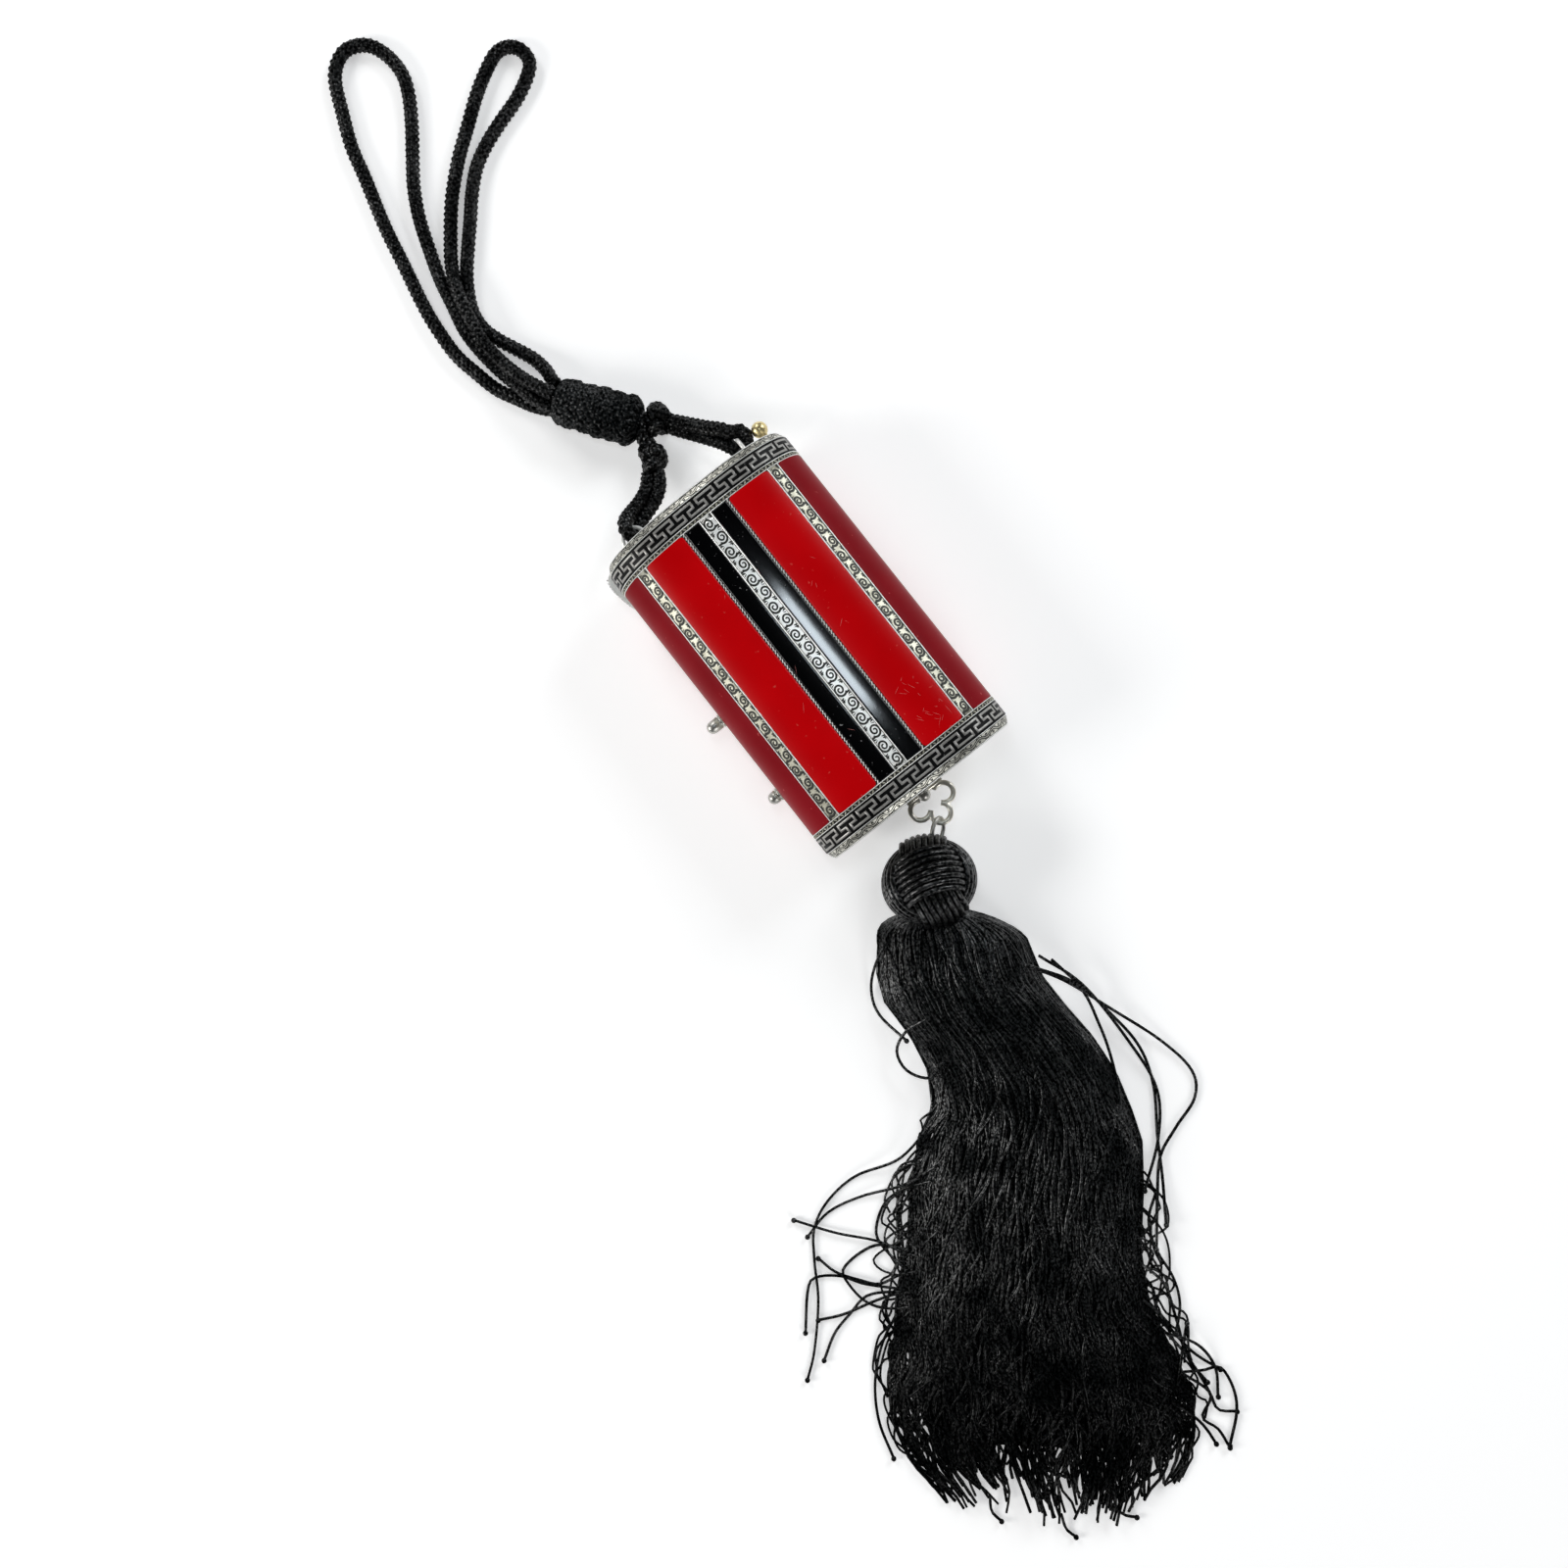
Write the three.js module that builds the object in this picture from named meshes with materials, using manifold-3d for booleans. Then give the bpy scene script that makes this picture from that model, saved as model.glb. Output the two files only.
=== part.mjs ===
// Oval enamelled silver vanity case, lying on its back, with a silk wrist cord and a silk tassel.
// Millimetres, +Z up. The case runs along Y, cord end at +Y, tassel end at -Y.
// The origin is the middle of the small flat under the case.

import * as THREE from 'three';
import { mergeVertices } from 'three/addons/utils/BufferGeometryUtils.js';
import Module from 'manifold-3d';

const wasm = await Module();
wasm.setup();

// Case body
const CASE_LENGTH = 80;
const CASE_HALF_WIDTH = 24.5;
const FRONT_DEPTH = 14.6;
const BACK_DEPTH = 14.6;
const UNDERSIDE_FLAT_CUT = 0.35;
const SECTION_POWER = 2.5;
const WALL = 1.1;
const END_WALL = 1.3;
const END_BEVEL_LENGTH = 1.9;
const END_BEVEL_INSET = 1;
const PARTING_GAP = 0.1;
const FACET = 2.6;
const PARTING_HEIGHT = BACK_DEPTH - UNDERSIDE_FLAT_CUT;

// Inner rim of the body, which the cover drops over
const RIM_WIDTH = 0.6;
const RIM_RISE = 1.2;
const RIM_FOOT = 1.5;
const RIM_CLEARANCE = 0.2;
const RIM_BITE = 0.3;

// Thumb lip on the left edge of the body, at the cord end
const THUMB_LIP_LENGTH = 10;
const THUMB_LIP_PROUD = 1.5;
const THUMB_LIP_THICKNESS = 2.4;
const THUMB_LIP_BITE = 0.6;
const THUMB_LIP_FROM_END = 0.1;

// Enamel, let into pockets in the silver and flush with it
const ENAMEL_DEPTH = 0.35;
const ENAMEL_GAP = 0.03;
const KEY_BAND_WIDTH = 3.8;
const KEY_BAND_TO_BEVEL = 0.1;
const KEY_BAND_TO_PANEL = 1.1;
const CENTRE_BAND_WIDTH = 3.3;
const BLACK_PANEL_WIDTH = 3.85;
const TWIST_LINE_WIDTH = 0.7;
const RED_PANEL_WIDTH = 10.5;
const SIDE_BAND_WIDTH = 2.95;
const SIDE_PANEL_TO_BUTTON = 0.25;
const KEY_BAND_EDGE = 1;
const POCKET_OVERSHOOT = 0.5;

// Push buttons
const BUTTON_RADIUS = 1.4;
const BUTTON_COLLAR_RADIUS = 1.5;
const BUTTON_COLLAR_THICKNESS = 0.5;
const BUTTON_STEM_RADIUS = 0.8;
const BUTTON_STEM_CLEARANCE = 0.1;
const BUTTON_SEAT_GAP = 0.05;
const BUTTON_HEIGHT_BELOW_PARTING = 1.75;
const SIDE_BUTTONS = [
  { name: 'side_button_upper', y: -0.8, proud: 4.1 },
  { name: 'side_button_lower', y: -21.3, proud: 3 },
];
const END_BUTTON_PROUD = 2.4;

// Gold knob and cord rings on the cord end
const KNOB_X = 21.3;
const KNOB_BELOW_PARTING = 3.1;
const KNOB_BALL_RADIUS = 1.85;
const KNOB_NECK_RADIUS = 0.8;
const KNOB_FOOT_RADIUS = 1.3;
const KNOB_REACH = 6.3;
const RING_RADIUS = 2.6;
const RING_WIRE_RADIUS = 0.45;
const RING_FOOT_RADIUS = 1.1;
const RING_FOOT_THICKNESS = 0.5;
const RINGS_BELOW_PARTING = 3;
const CORD_RINGS = [
  { name: 'cord_ring_left', x: -15.2, turn: 0 },
  { name: 'cord_ring_right', x: 16, turn: Math.PI / 2 },
];
const END_FITTING_GAP = 0.05;

// Three-lobed hanger on the tassel end
const HANGER_THICKNESS = 0.9;
const HANGER_BELOW_PARTING = 4.6;
const HANGER_REACH = 3.2;
const HANGER_X = 0.45;
const LOBE_RADIUS = 2.6;
const LOBE_BAR = 0.8;
const LOBE_OFFSET = 3.15;
const HANGER_FOOT_WIDTH = 0.85;
const HANGER_MOUTH_HALF_WIDTH = 1.9;

// Tassel
const TASSEL_RING_WIRE_RADIUS = 0.35;
const TASSEL_RING_HALF_HEIGHT = 1.55;
const TASSEL_RING_IN_LOBE = 1.1;
const TASSEL_RING_IN_BALL = 1.9;
const BALL_RADIUS = 10.2;
const BALL_X = -10.8;
const BALL_FROM_CASE = 16.5;
const BALL_SOCKET_CLEARANCE = 0.3;
const SKIRT_GAP = 0.35;
const TASSEL_LENGTH = 141;
const BALL_Y = -CASE_LENGTH / 2 - BALL_FROM_CASE;

// Silk cord
const CORD_DIAMETER = 2.7;
const CORD_SIDES = 8;
const LOOP_STEPS = 35;
const STRAP_STEPS = 19;
const SLIDE_KNOT_LENGTH = 20;
const SLIDE_KNOT_WIDTH = 12;
const SLIDE_KNOT_HEIGHT = 11.2;
const SLIDE_KNOT_MIDDLE = new THREE.Vector3(-4.2, 32.4, SLIDE_KNOT_HEIGHT / 2);
const SLIDE_KNOT_TURN = 0.617;

const MATERIALS = {
  silver: { color: 0xb9b4a6, roughness: 0.32, metalness: 1 },
  redEnamel: { color: 0xb50408, roughness: 0.18, metalness: 0 },
  blackEnamel: { color: 0x060607, roughness: 0.12, metalness: 0 },
  gold: { color: 0xb9a45c, roughness: 0.25, metalness: 1 },
  silk: { color: 0x0b0d0e, roughness: 0.62, metalness: 0 },
};

const vanityCase = new THREE.Group();

// Everything on the cord is placed from the cord end of the case
const cordGroup = new THREE.Group();
cordGroup.position.y = CASE_LENGTH / 2;
vanityCase.add(cordGroup);

function addPiece(name, geometry, material, parent = vanityCase) {
  const mesh = new THREE.Mesh(geometry, new THREE.MeshStandardMaterial(MATERIALS[material]));
  mesh.name = name;
  parent.add(mesh);
  return mesh;
}

// Solids: geometry to manifold and back

function toSolid(geometry) {
  const bare = geometry.clone();
  bare.deleteAttribute('normal');
  bare.deleteAttribute('uv');
  const merged = mergeVertices(bare, 1e-5);
  return new wasm.Manifold(new wasm.Mesh({
    numProp: 3,
    vertProperties: new Float32Array(merged.attributes.position.array),
    triVerts: new Uint32Array(merged.index.array),
  }));
}

function toGeometry(solid) {
  const mesh = solid.getMesh();
  const geometry = new THREE.BufferGeometry();
  geometry.setAttribute('position', new THREE.BufferAttribute(mesh.vertProperties, 3));
  geometry.setIndex(new THREE.BufferAttribute(mesh.triVerts, 1));
  return geometry;
}

function boxSolid(low, high) {
  const size = new THREE.Vector3().subVectors(high, low);
  const box = new THREE.BoxGeometry(size.x, size.y, size.z);
  box.translate((low.x + high.x) / 2, (low.y + high.y) / 2, (low.z + high.z) / 2);
  return toSolid(box);
}

// Extrudes an outline drawn in X and Z along Y
function extrudeAlongCase(outline, lowY, highY, options = { bevelEnabled: false }) {
  const geometry = new THREE.ExtrudeGeometry(new THREE.Shape(outline), {
    depth: highY - lowY,
    steps: 1,
    ...options,
  });
  geometry.rotateX(Math.PI / 2);
  geometry.translate(0, highY, 0);
  return geometry;
}

// The case's section, measured along its skin

function sectionHalf(side) {
  const samples = 4000;
  const depth = side > 0 ? FRONT_DEPTH : BACK_DEPTH;
  const points = [];
  for (let i = 0; i <= samples; i += 1) {
    const angle = Math.PI - (Math.PI * i) / samples;
    const cos = Math.cos(angle);
    const x = CASE_HALF_WIDTH * Math.sign(cos) * Math.abs(cos) ** (2 / SECTION_POWER);
    const rise = depth * Math.abs(Math.sin(angle)) ** (2 / SECTION_POWER);
    const z = Math.max(PARTING_HEIGHT + side * rise, 0);
    points.push(new THREE.Vector2(x, z));
  }
  const arcs = [0];
  for (let i = 1; i <= samples; i += 1) {
    arcs.push(arcs[i - 1] + points[i].distanceTo(points[i - 1]));
  }
  const half = arcs[samples] / 2;
  return { side, points, arcs: arcs.map((arc) => arc - half), half };
}

const FRONT = sectionHalf(1);
const BACK = sectionHalf(-1);

// The point at a distance from the centre line, sunk into the metal by inset
function sectionPoint(section, arc, inset) {
  const { points, arcs, side } = section;
  let high = arcs.findIndex((value) => value >= arc);
  if (high < 1) high = arc < 0 ? 1 : arcs.length - 1;
  const low = high - 1;
  const share = THREE.MathUtils.clamp((arc - arcs[low]) / (arcs[high] - arcs[low]), 0, 1);
  const point = points[low].clone().lerp(points[high], share);
  const along = points[high].clone().sub(points[low]).normalize();
  const inward = new THREE.Vector2(along.y, -along.x).multiplyScalar(side);
  return point.addScaledVector(inward, inset);
}

function arcStations(from, to) {
  const steps = Math.max(1, Math.ceil((to - from) / FACET - 1e-6));
  return Array.from({ length: steps + 1 }, (_, i) => from + ((to - from) * i) / steps);
}

// Where the enamel panels start and end, from the centre line outwards
const BLACK_START = CENTRE_BAND_WIDTH / 2;
const BLACK_END = BLACK_START + BLACK_PANEL_WIDTH;
const RED_START = BLACK_END + TWIST_LINE_WIDTH;
const RED_END = RED_START + RED_PANEL_WIDTH;
const SIDE_START = RED_END + SIDE_BAND_WIDTH;
const BUTTON_ROOM = BUTTON_HEIGHT_BELOW_PARTING + BUTTON_COLLAR_RADIUS + SIDE_PANEL_TO_BUTTON;
const SIDE_END = FRONT.half - BUTTON_ROOM;

function skinStations(section) {
  const edges = [0, BLACK_START, BLACK_END, RED_START, RED_END, SIDE_START, SIDE_END,
    section.half - KEY_BAND_EDGE, section.half];
  const right = edges.slice(1).flatMap((edge, i) => arcStations(edges[i], edge).slice(1));
  return [...right.map((arc) => -arc).reverse(), 0, ...right];
}

function closedSection(inset) {
  const front = skinStations(FRONT).map((arc) => sectionPoint(FRONT, arc, inset));
  const back = skinStations(BACK).map((arc) => sectionPoint(BACK, arc, inset));
  return [...front, ...back.reverse().slice(1, -1)];
}

// Part of the skin between two distances from the centre line, as an outline
function skinOutline(section, from, to, outer, inner) {
  const inside = skinStations(section).filter((arc) => arc > from + 1e-3 && arc < to - 1e-3);
  const arcs = [from, ...inside, to];
  const top = arcs.map((arc) => sectionPoint(section, arc, outer));
  const bottom = arcs.map((arc) => sectionPoint(section, arc, inner));
  return [...top, ...bottom.reverse()];
}

// Enamel panels

function panelList() {
  const key = { high: CASE_LENGTH / 2 - END_BEVEL_LENGTH - KEY_BAND_TO_BEVEL };
  key.low = key.high - KEY_BAND_WIDTH;
  const panelEnd = key.low - KEY_BAND_TO_PANEL;
  const length = { low: -panelEnd, high: panelEnd };
  const panels = [];
  for (const [side, sign] of [['left', -1], ['right', 1]]) {
    const spans = [
      [`black_panel_${side}`, FRONT, BLACK_START, BLACK_END, 'blackEnamel'],
      [`red_panel_${side}`, FRONT, RED_START, RED_END, 'redEnamel'],
      [`side_panel_front_${side}`, FRONT, SIDE_START, SIDE_END, 'redEnamel'],
      [`side_panel_back_${side}`, BACK, SIDE_START, SIDE_END, 'redEnamel'],
    ];
    for (const [name, section, near, far, material] of spans) {
      const [from, to] = sign < 0 ? [-far, -near] : [near, far];
      panels.push({ name, section, from, to, ...length, material });
    }
  }
  panels.push({
    name: 'red_panel_back', section: BACK, from: -RED_END, to: RED_END, ...length, material: 'redEnamel',
  });
  for (const [face, section] of [['front', FRONT], ['back', BACK]]) {
    const reach = section.half - KEY_BAND_EDGE;
    const band = { section, from: -reach, to: reach, material: 'blackEnamel' };
    panels.push({ name: `key_band_${face}_cord_end`, ...band, low: key.low, high: key.high });
    panels.push({ name: `key_band_${face}_tassel_end`, ...band, low: -key.high, high: -key.low });
  }
  return panels;
}

function panelGeometry({ section, from, to, low, high }) {
  const outline = skinOutline(section, from, to, 0, ENAMEL_DEPTH);
  return extrudeAlongCase(outline, low, high);
}

function pocketSolid({ section, from, to, low, high }) {
  const outline = skinOutline(
    section, from - ENAMEL_GAP, to + ENAMEL_GAP, -POCKET_OVERSHOOT, ENAMEL_DEPTH + ENAMEL_GAP,
  );
  return toSolid(extrudeAlongCase(outline, low - ENAMEL_GAP, high + ENAMEL_GAP));
}

// Case shells

function wholeCase() {
  const halfLength = CASE_LENGTH / 2 - END_BEVEL_LENGTH;
  const shell = toSolid(extrudeAlongCase(closedSection(0), -halfLength, halfLength, {
    bevelEnabled: true,
    bevelThickness: END_BEVEL_LENGTH,
    bevelSize: END_BEVEL_INSET,
    bevelOffset: -END_BEVEL_INSET,
    bevelSegments: 1,
  }));
  const innerEnd = CASE_LENGTH / 2 - END_WALL;
  return shell.subtract(toSolid(extrudeAlongCase(closedSection(WALL), -innerEnd, innerEnd)));
}

function halfSpace(side) {
  const reach = CASE_LENGTH;
  const split = PARTING_HEIGHT + (side * PARTING_GAP) / 2;
  const [lowZ, highZ] = side > 0 ? [split, reach] : [-reach, split];
  return boxSolid(new THREE.Vector3(-reach, -reach, lowZ), new THREE.Vector3(reach, reach, highZ));
}

function rectangleRing(outerX, outerY, innerX, innerY, lowZ, highZ) {
  const outer = boxSolid(
    new THREE.Vector3(-outerX, -outerY, lowZ), new THREE.Vector3(outerX, outerY, highZ),
  );
  const inner = boxSolid(
    new THREE.Vector3(-innerX, -innerY, lowZ - 1), new THREE.Vector3(innerX, innerY, highZ + 1),
  );
  return outer.subtract(inner);
}

function innerRim() {
  const wallX = CASE_HALF_WIDTH - WALL;
  const wallY = CASE_LENGTH / 2 - END_WALL;
  const innerX = wallX - RIM_CLEARANCE - RIM_WIDTH;
  const innerY = wallY - RIM_CLEARANCE - RIM_WIDTH;
  const split = PARTING_HEIGHT - PARTING_GAP / 2;
  const foot = rectangleRing(wallX + RIM_BITE, wallY + RIM_BITE, innerX, innerY, split - RIM_FOOT, split);
  const lip = rectangleRing(
    wallX - RIM_CLEARANCE, wallY - RIM_CLEARANCE, innerX, innerY, split - RIM_FOOT, split + RIM_RISE,
  );
  return foot.add(lip);
}

function thumbLip() {
  const endY = CASE_LENGTH / 2 - THUMB_LIP_FROM_END;
  const rootX = -CASE_HALF_WIDTH + THUMB_LIP_BITE;
  const proudX = -CASE_HALF_WIDTH - THUMB_LIP_PROUD;
  const outline = new THREE.Shape();
  outline.moveTo(rootX, endY);
  outline.bezierCurveTo(
    proudX, endY, proudX - THUMB_LIP_BITE, endY - THUMB_LIP_LENGTH / 2, -CASE_HALF_WIDTH, endY - THUMB_LIP_LENGTH,
  );
  outline.lineTo(rootX, endY - THUMB_LIP_LENGTH);
  const geometry = new THREE.ExtrudeGeometry(outline, {
    depth: THUMB_LIP_THICKNESS, bevelEnabled: false, curveSegments: 12,
  });
  geometry.translate(0, 0, PARTING_HEIGHT - PARTING_GAP / 2 - THUMB_LIP_THICKNESS);
  return toSolid(geometry);
}

// Push buttons: the lathe axis is Y, with the seat at zero and the dome above it

const BUTTON_Z = PARTING_HEIGHT - BUTTON_HEIGHT_BELOW_PARTING;

function domePoints(radius, top, steps) {
  return Array.from({ length: steps }, (_, i) => {
    const angle = (Math.PI / 2) * ((i + 1) / steps);
    return new THREE.Vector2(radius * Math.cos(angle), top - radius + radius * Math.sin(angle));
  });
}

function buttonGeometry(proud, stemLength) {
  const dome = domePoints(BUTTON_RADIUS, proud, 4);
  dome[dome.length - 1].x = 0;
  const seat = BUTTON_SEAT_GAP;
  return new THREE.LatheGeometry([
    new THREE.Vector2(0, -stemLength),
    new THREE.Vector2(BUTTON_STEM_RADIUS, -stemLength),
    new THREE.Vector2(BUTTON_STEM_RADIUS, seat),
    new THREE.Vector2(BUTTON_COLLAR_RADIUS, seat),
    new THREE.Vector2(BUTTON_COLLAR_RADIUS, seat + BUTTON_COLLAR_THICKNESS),
    new THREE.Vector2(BUTTON_RADIUS, seat + BUTTON_COLLAR_THICKNESS),
    new THREE.Vector2(BUTTON_RADIUS, proud - BUTTON_RADIUS),
    ...dome,
  ], 12);
}

function buttonHoles() {
  const radius = BUTTON_STEM_RADIUS + BUTTON_STEM_CLEARANCE;
  const depth = 2 * (WALL + END_WALL);
  const holes = SIDE_BUTTONS.map(({ y }) => {
    const hole = new THREE.CylinderGeometry(radius, radius, depth, 12);
    hole.rotateZ(Math.PI / 2);
    hole.translate(-CASE_HALF_WIDTH, y, BUTTON_Z);
    return toSolid(hole);
  });
  const endHole = new THREE.CylinderGeometry(radius, radius, depth, 12);
  endHole.translate(0, -CASE_LENGTH / 2, BUTTON_Z);
  return [...holes, toSolid(endHole)];
}

function buildCase() {
  const panels = panelList();
  const whole = wholeCase();
  let cover = whole.intersect(halfSpace(1));
  let body = whole.intersect(halfSpace(-1)).add(innerRim()).add(thumbLip());
  for (const panel of panels) {
    if (panel.section === FRONT) cover = cover.subtract(pocketSolid(panel));
    else body = body.subtract(pocketSolid(panel));
    addPiece(panel.name, panelGeometry(panel), panel.material);
  }
  for (const hole of buttonHoles()) body = body.subtract(hole);
  addPiece('front_cover', toGeometry(cover), 'silver');
  addPiece('case_body', toGeometry(body), 'silver');
}

function buildButtons() {
  for (const { name, y, proud } of SIDE_BUTTONS) {
    const button = addPiece(name, buttonGeometry(proud, WALL), 'silver');
    button.position.set(-CASE_HALF_WIDTH, y, BUTTON_Z);
    button.rotation.z = Math.PI / 2;
  }
  const button = addPiece('end_button', buttonGeometry(END_BUTTON_PROUD, END_WALL), 'silver');
  button.position.set(0, -CASE_LENGTH / 2, BUTTON_Z);
  button.rotation.z = Math.PI;
}

// Fittings on the ends

function buildKnob() {
  const ballY = KNOB_REACH - KNOB_BALL_RADIUS;
  const steps = 8;
  const startAngle = -Math.acos(KNOB_NECK_RADIUS / KNOB_BALL_RADIUS);
  const ball = Array.from({ length: steps + 1 }, (_, i) => {
    const angle = startAngle + (Math.PI / 2 - startAngle) * (i / steps);
    const radius = i === steps ? 0 : KNOB_BALL_RADIUS * Math.cos(angle);
    return new THREE.Vector2(radius, ballY + KNOB_BALL_RADIUS * Math.sin(angle));
  });
  const neckStart = ballY / 3;
  const knob = addPiece('gold_knob', new THREE.LatheGeometry([
    new THREE.Vector2(0, END_FITTING_GAP),
    new THREE.Vector2(KNOB_FOOT_RADIUS, END_FITTING_GAP),
    new THREE.Vector2(KNOB_FOOT_RADIUS, neckStart / 2),
    new THREE.Vector2(KNOB_NECK_RADIUS, neckStart),
    ...ball,
  ], 12), 'gold');
  knob.position.set(KNOB_X, CASE_LENGTH / 2, PARTING_HEIGHT - KNOB_BELOW_PARTING);
}

function buildCordRings() {
  for (const { name, x, turn } of CORD_RINGS) {
    const ring = new THREE.TorusGeometry(RING_RADIUS, RING_WIRE_RADIUS, 6, 18);
    ring.rotateY(turn);
    ring.translate(0, RING_RADIUS + RING_FOOT_THICKNESS, 0);
    const foot = new THREE.CylinderGeometry(RING_FOOT_RADIUS, RING_FOOT_RADIUS, RING_FOOT_THICKNESS, 12);
    foot.translate(0, RING_FOOT_THICKNESS / 2 + END_FITTING_GAP, 0);
    const solid = toSolid(ring).add(toSolid(foot));
    const mesh = addPiece(name, toGeometry(solid), 'silver');
    mesh.position.set(x, CASE_LENGTH / 2, PARTING_HEIGHT - RINGS_BELOW_PARTING);
  }
}

const HANGER_Y = -CASE_LENGTH / 2 - HANGER_REACH;
const HANGER_Z = PARTING_HEIGHT - HANGER_BELOW_PARTING;

function discSolid(x, y, radius, thickness) {
  const disc = new THREE.CylinderGeometry(radius, radius, thickness, 16);
  disc.rotateX(Math.PI / 2);
  disc.translate(x, y, HANGER_Z);
  return toSolid(disc);
}

function buildHanger() {
  const lobes = [[LOBE_OFFSET, 0], [-LOBE_OFFSET, 0], [0, -LOBE_OFFSET]];
  const halfThickness = HANGER_THICKNESS / 2;
  const footTop = -CASE_LENGTH / 2 - END_FITTING_GAP;
  const footHalf = LOBE_OFFSET + LOBE_RADIUS / 2;
  let plate = boxSolid(
    new THREE.Vector3(HANGER_X - footHalf, footTop - HANGER_FOOT_WIDTH, HANGER_Z - halfThickness),
    new THREE.Vector3(HANGER_X + footHalf, footTop, HANGER_Z + halfThickness),
  );
  plate = plate.add(discSolid(HANGER_X, HANGER_Y, LOBE_OFFSET, HANGER_THICKNESS));
  for (const [x, y] of lobes) {
    plate = plate.add(discSolid(HANGER_X + x, HANGER_Y + y, LOBE_RADIUS, HANGER_THICKNESS));
  }
  const deep = 3 * HANGER_THICKNESS;
  for (const [x, y] of lobes) {
    plate = plate.subtract(discSolid(HANGER_X + x, HANGER_Y + y, LOBE_RADIUS - LOBE_BAR, deep));
  }
  plate = plate.subtract(discSolid(HANGER_X, HANGER_Y, HANGER_MOUTH_HALF_WIDTH, deep));
  plate = plate.subtract(boxSolid(
    new THREE.Vector3(HANGER_X - HANGER_MOUTH_HALF_WIDTH, HANGER_Y, HANGER_Z - deep),
    new THREE.Vector3(
      HANGER_X + HANGER_MOUTH_HALF_WIDTH, footTop - HANGER_FOOT_WIDTH, HANGER_Z + deep,
    ),
  ));
  addPiece('tassel_hanger', toGeometry(plate), 'silver');
}

// A closed wire loop in one plane; its points run once round it
function wireLoop(points, planeNormal, radius, sides) {
  const positions = [];
  const indices = [];
  const count = points.length;
  points.forEach((point, i) => {
    const along = points[(i + 1) % count].clone().sub(points[(i + count - 1) % count]).normalize();
    const outward = new THREE.Vector3().crossVectors(along, planeNormal);
    for (let j = 0; j < sides; j += 1) {
      const angle = (2 * Math.PI * j) / sides;
      const vertex = point.clone()
        .addScaledVector(outward, radius * Math.cos(angle))
        .addScaledVector(planeNormal, radius * Math.sin(angle));
      positions.push(vertex.x, vertex.y, vertex.z);
      const here = i * sides + j;
      const beside = i * sides + ((j + 1) % sides);
      const next = ((i + 1) % count) * sides;
      indices.push(here, next + j, beside, beside, next + j, next + ((j + 1) % sides));
    }
  });
  const geometry = new THREE.BufferGeometry();
  geometry.setAttribute('position', new THREE.Float32BufferAttribute(positions, 3));
  geometry.setIndex(indices);
  return geometry;
}

const BALL_CENTRE = new THREE.Vector3(BALL_X, BALL_Y, BALL_RADIUS);
const FAR_LOBE = new THREE.Vector3(HANGER_X, HANGER_Y - LOBE_OFFSET, HANGER_Z);
const PULL = new THREE.Vector3(BALL_X - FAR_LOBE.x, BALL_Y - FAR_LOBE.y, 0).normalize();

function buildTasselRing() {
  const lobeToBall = Math.hypot(BALL_X - FAR_LOBE.x, BALL_Y - FAR_LOBE.y);
  const near = TASSEL_RING_IN_LOBE;
  const far = lobeToBall - BALL_RADIUS + TASSEL_RING_IN_BALL;
  const halfLong = (far - near) / 2;
  const middle = FAR_LOBE.clone().addScaledVector(PULL, (near + far) / 2);
  const count = 16;
  const points = Array.from({ length: count }, (_, i) => {
    const angle = (2 * Math.PI * i) / count;
    const point = middle.clone().addScaledVector(PULL, halfLong * Math.cos(angle));
    point.z += TASSEL_RING_HALF_HEIGHT * Math.sin(angle);
    return point;
  });
  const across = new THREE.Vector3(-PULL.y, PULL.x, 0);
  addPiece('tassel_ring', wireLoop(points, across, TASSEL_RING_WIRE_RADIUS, 6), 'silver');
}

function buildBall() {
  const sphere = new THREE.SphereGeometry(BALL_RADIUS, 20, 12);
  sphere.rotateX(Math.PI / 2);
  const socketDepth = TASSEL_RING_IN_BALL + BALL_SOCKET_CLEARANCE + TASSEL_RING_WIRE_RADIUS;
  const socketWidth = 2 * (TASSEL_RING_WIRE_RADIUS + BALL_SOCKET_CLEARANCE);
  const socketHeight = 2 * (TASSEL_RING_HALF_HEIGHT + TASSEL_RING_WIRE_RADIUS + BALL_SOCKET_CLEARANCE);
  const socket = new THREE.BoxGeometry(2 * socketDepth, socketWidth, socketHeight);
  socket.translate(BALL_RADIUS, 0, FAR_LOBE.z - BALL_CENTRE.z);
  socket.rotateZ(Math.atan2(-PULL.y, -PULL.x));
  const ball = addPiece('tassel_ball', toGeometry(toSolid(sphere).subtract(toSolid(socket))), 'silk');
  ball.position.copy(BALL_CENTRE);
}

// The tassel's own directions: down it, as it lies, and across it to the right
const TASSEL_DOWN = new THREE.Vector2(-0.62, -0.785).normalize();
const TASSEL_ACROSS = new THREE.Vector2(-TASSEL_DOWN.y, TASSEL_DOWN.x);

// Each row: distance down from the ball's centre, sideways offset, half-width and height,
// all as shares of the tassel's length
const TASSEL_FORM = [
  [0.05, 0.026, 0.095, 0.06],
  [0.075, 0.034, 0.113, 0.084],
  [0.115, 0.043, 0.124, 0.094],
  [0.16, 0.051, 0.129, 0.094],
  [0.2, 0.073, 0.141, 0.09],
  [0.255, 0.118, 0.145, 0.085],
  [0.31, 0.148, 0.147, 0.081],
  [0.37, 0.164, 0.156, 0.078],
  [0.42, 0.162, 0.172, 0.075],
  [0.49, 0.155, 0.18, 0.071],
  [0.585, 0.151, 0.181, 0.066],
  [0.665, 0.149, 0.197, 0.06],
  [0.755, 0.164, 0.226, 0.053],
  [0.835, 0.178, 0.246, 0.046],
  [0.88, 0.182, 0.243, 0.041],
  [0.935, 0.186, 0.214, 0.034],
  [0.985, 0.2, 0.14, 0.024],
];

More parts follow.
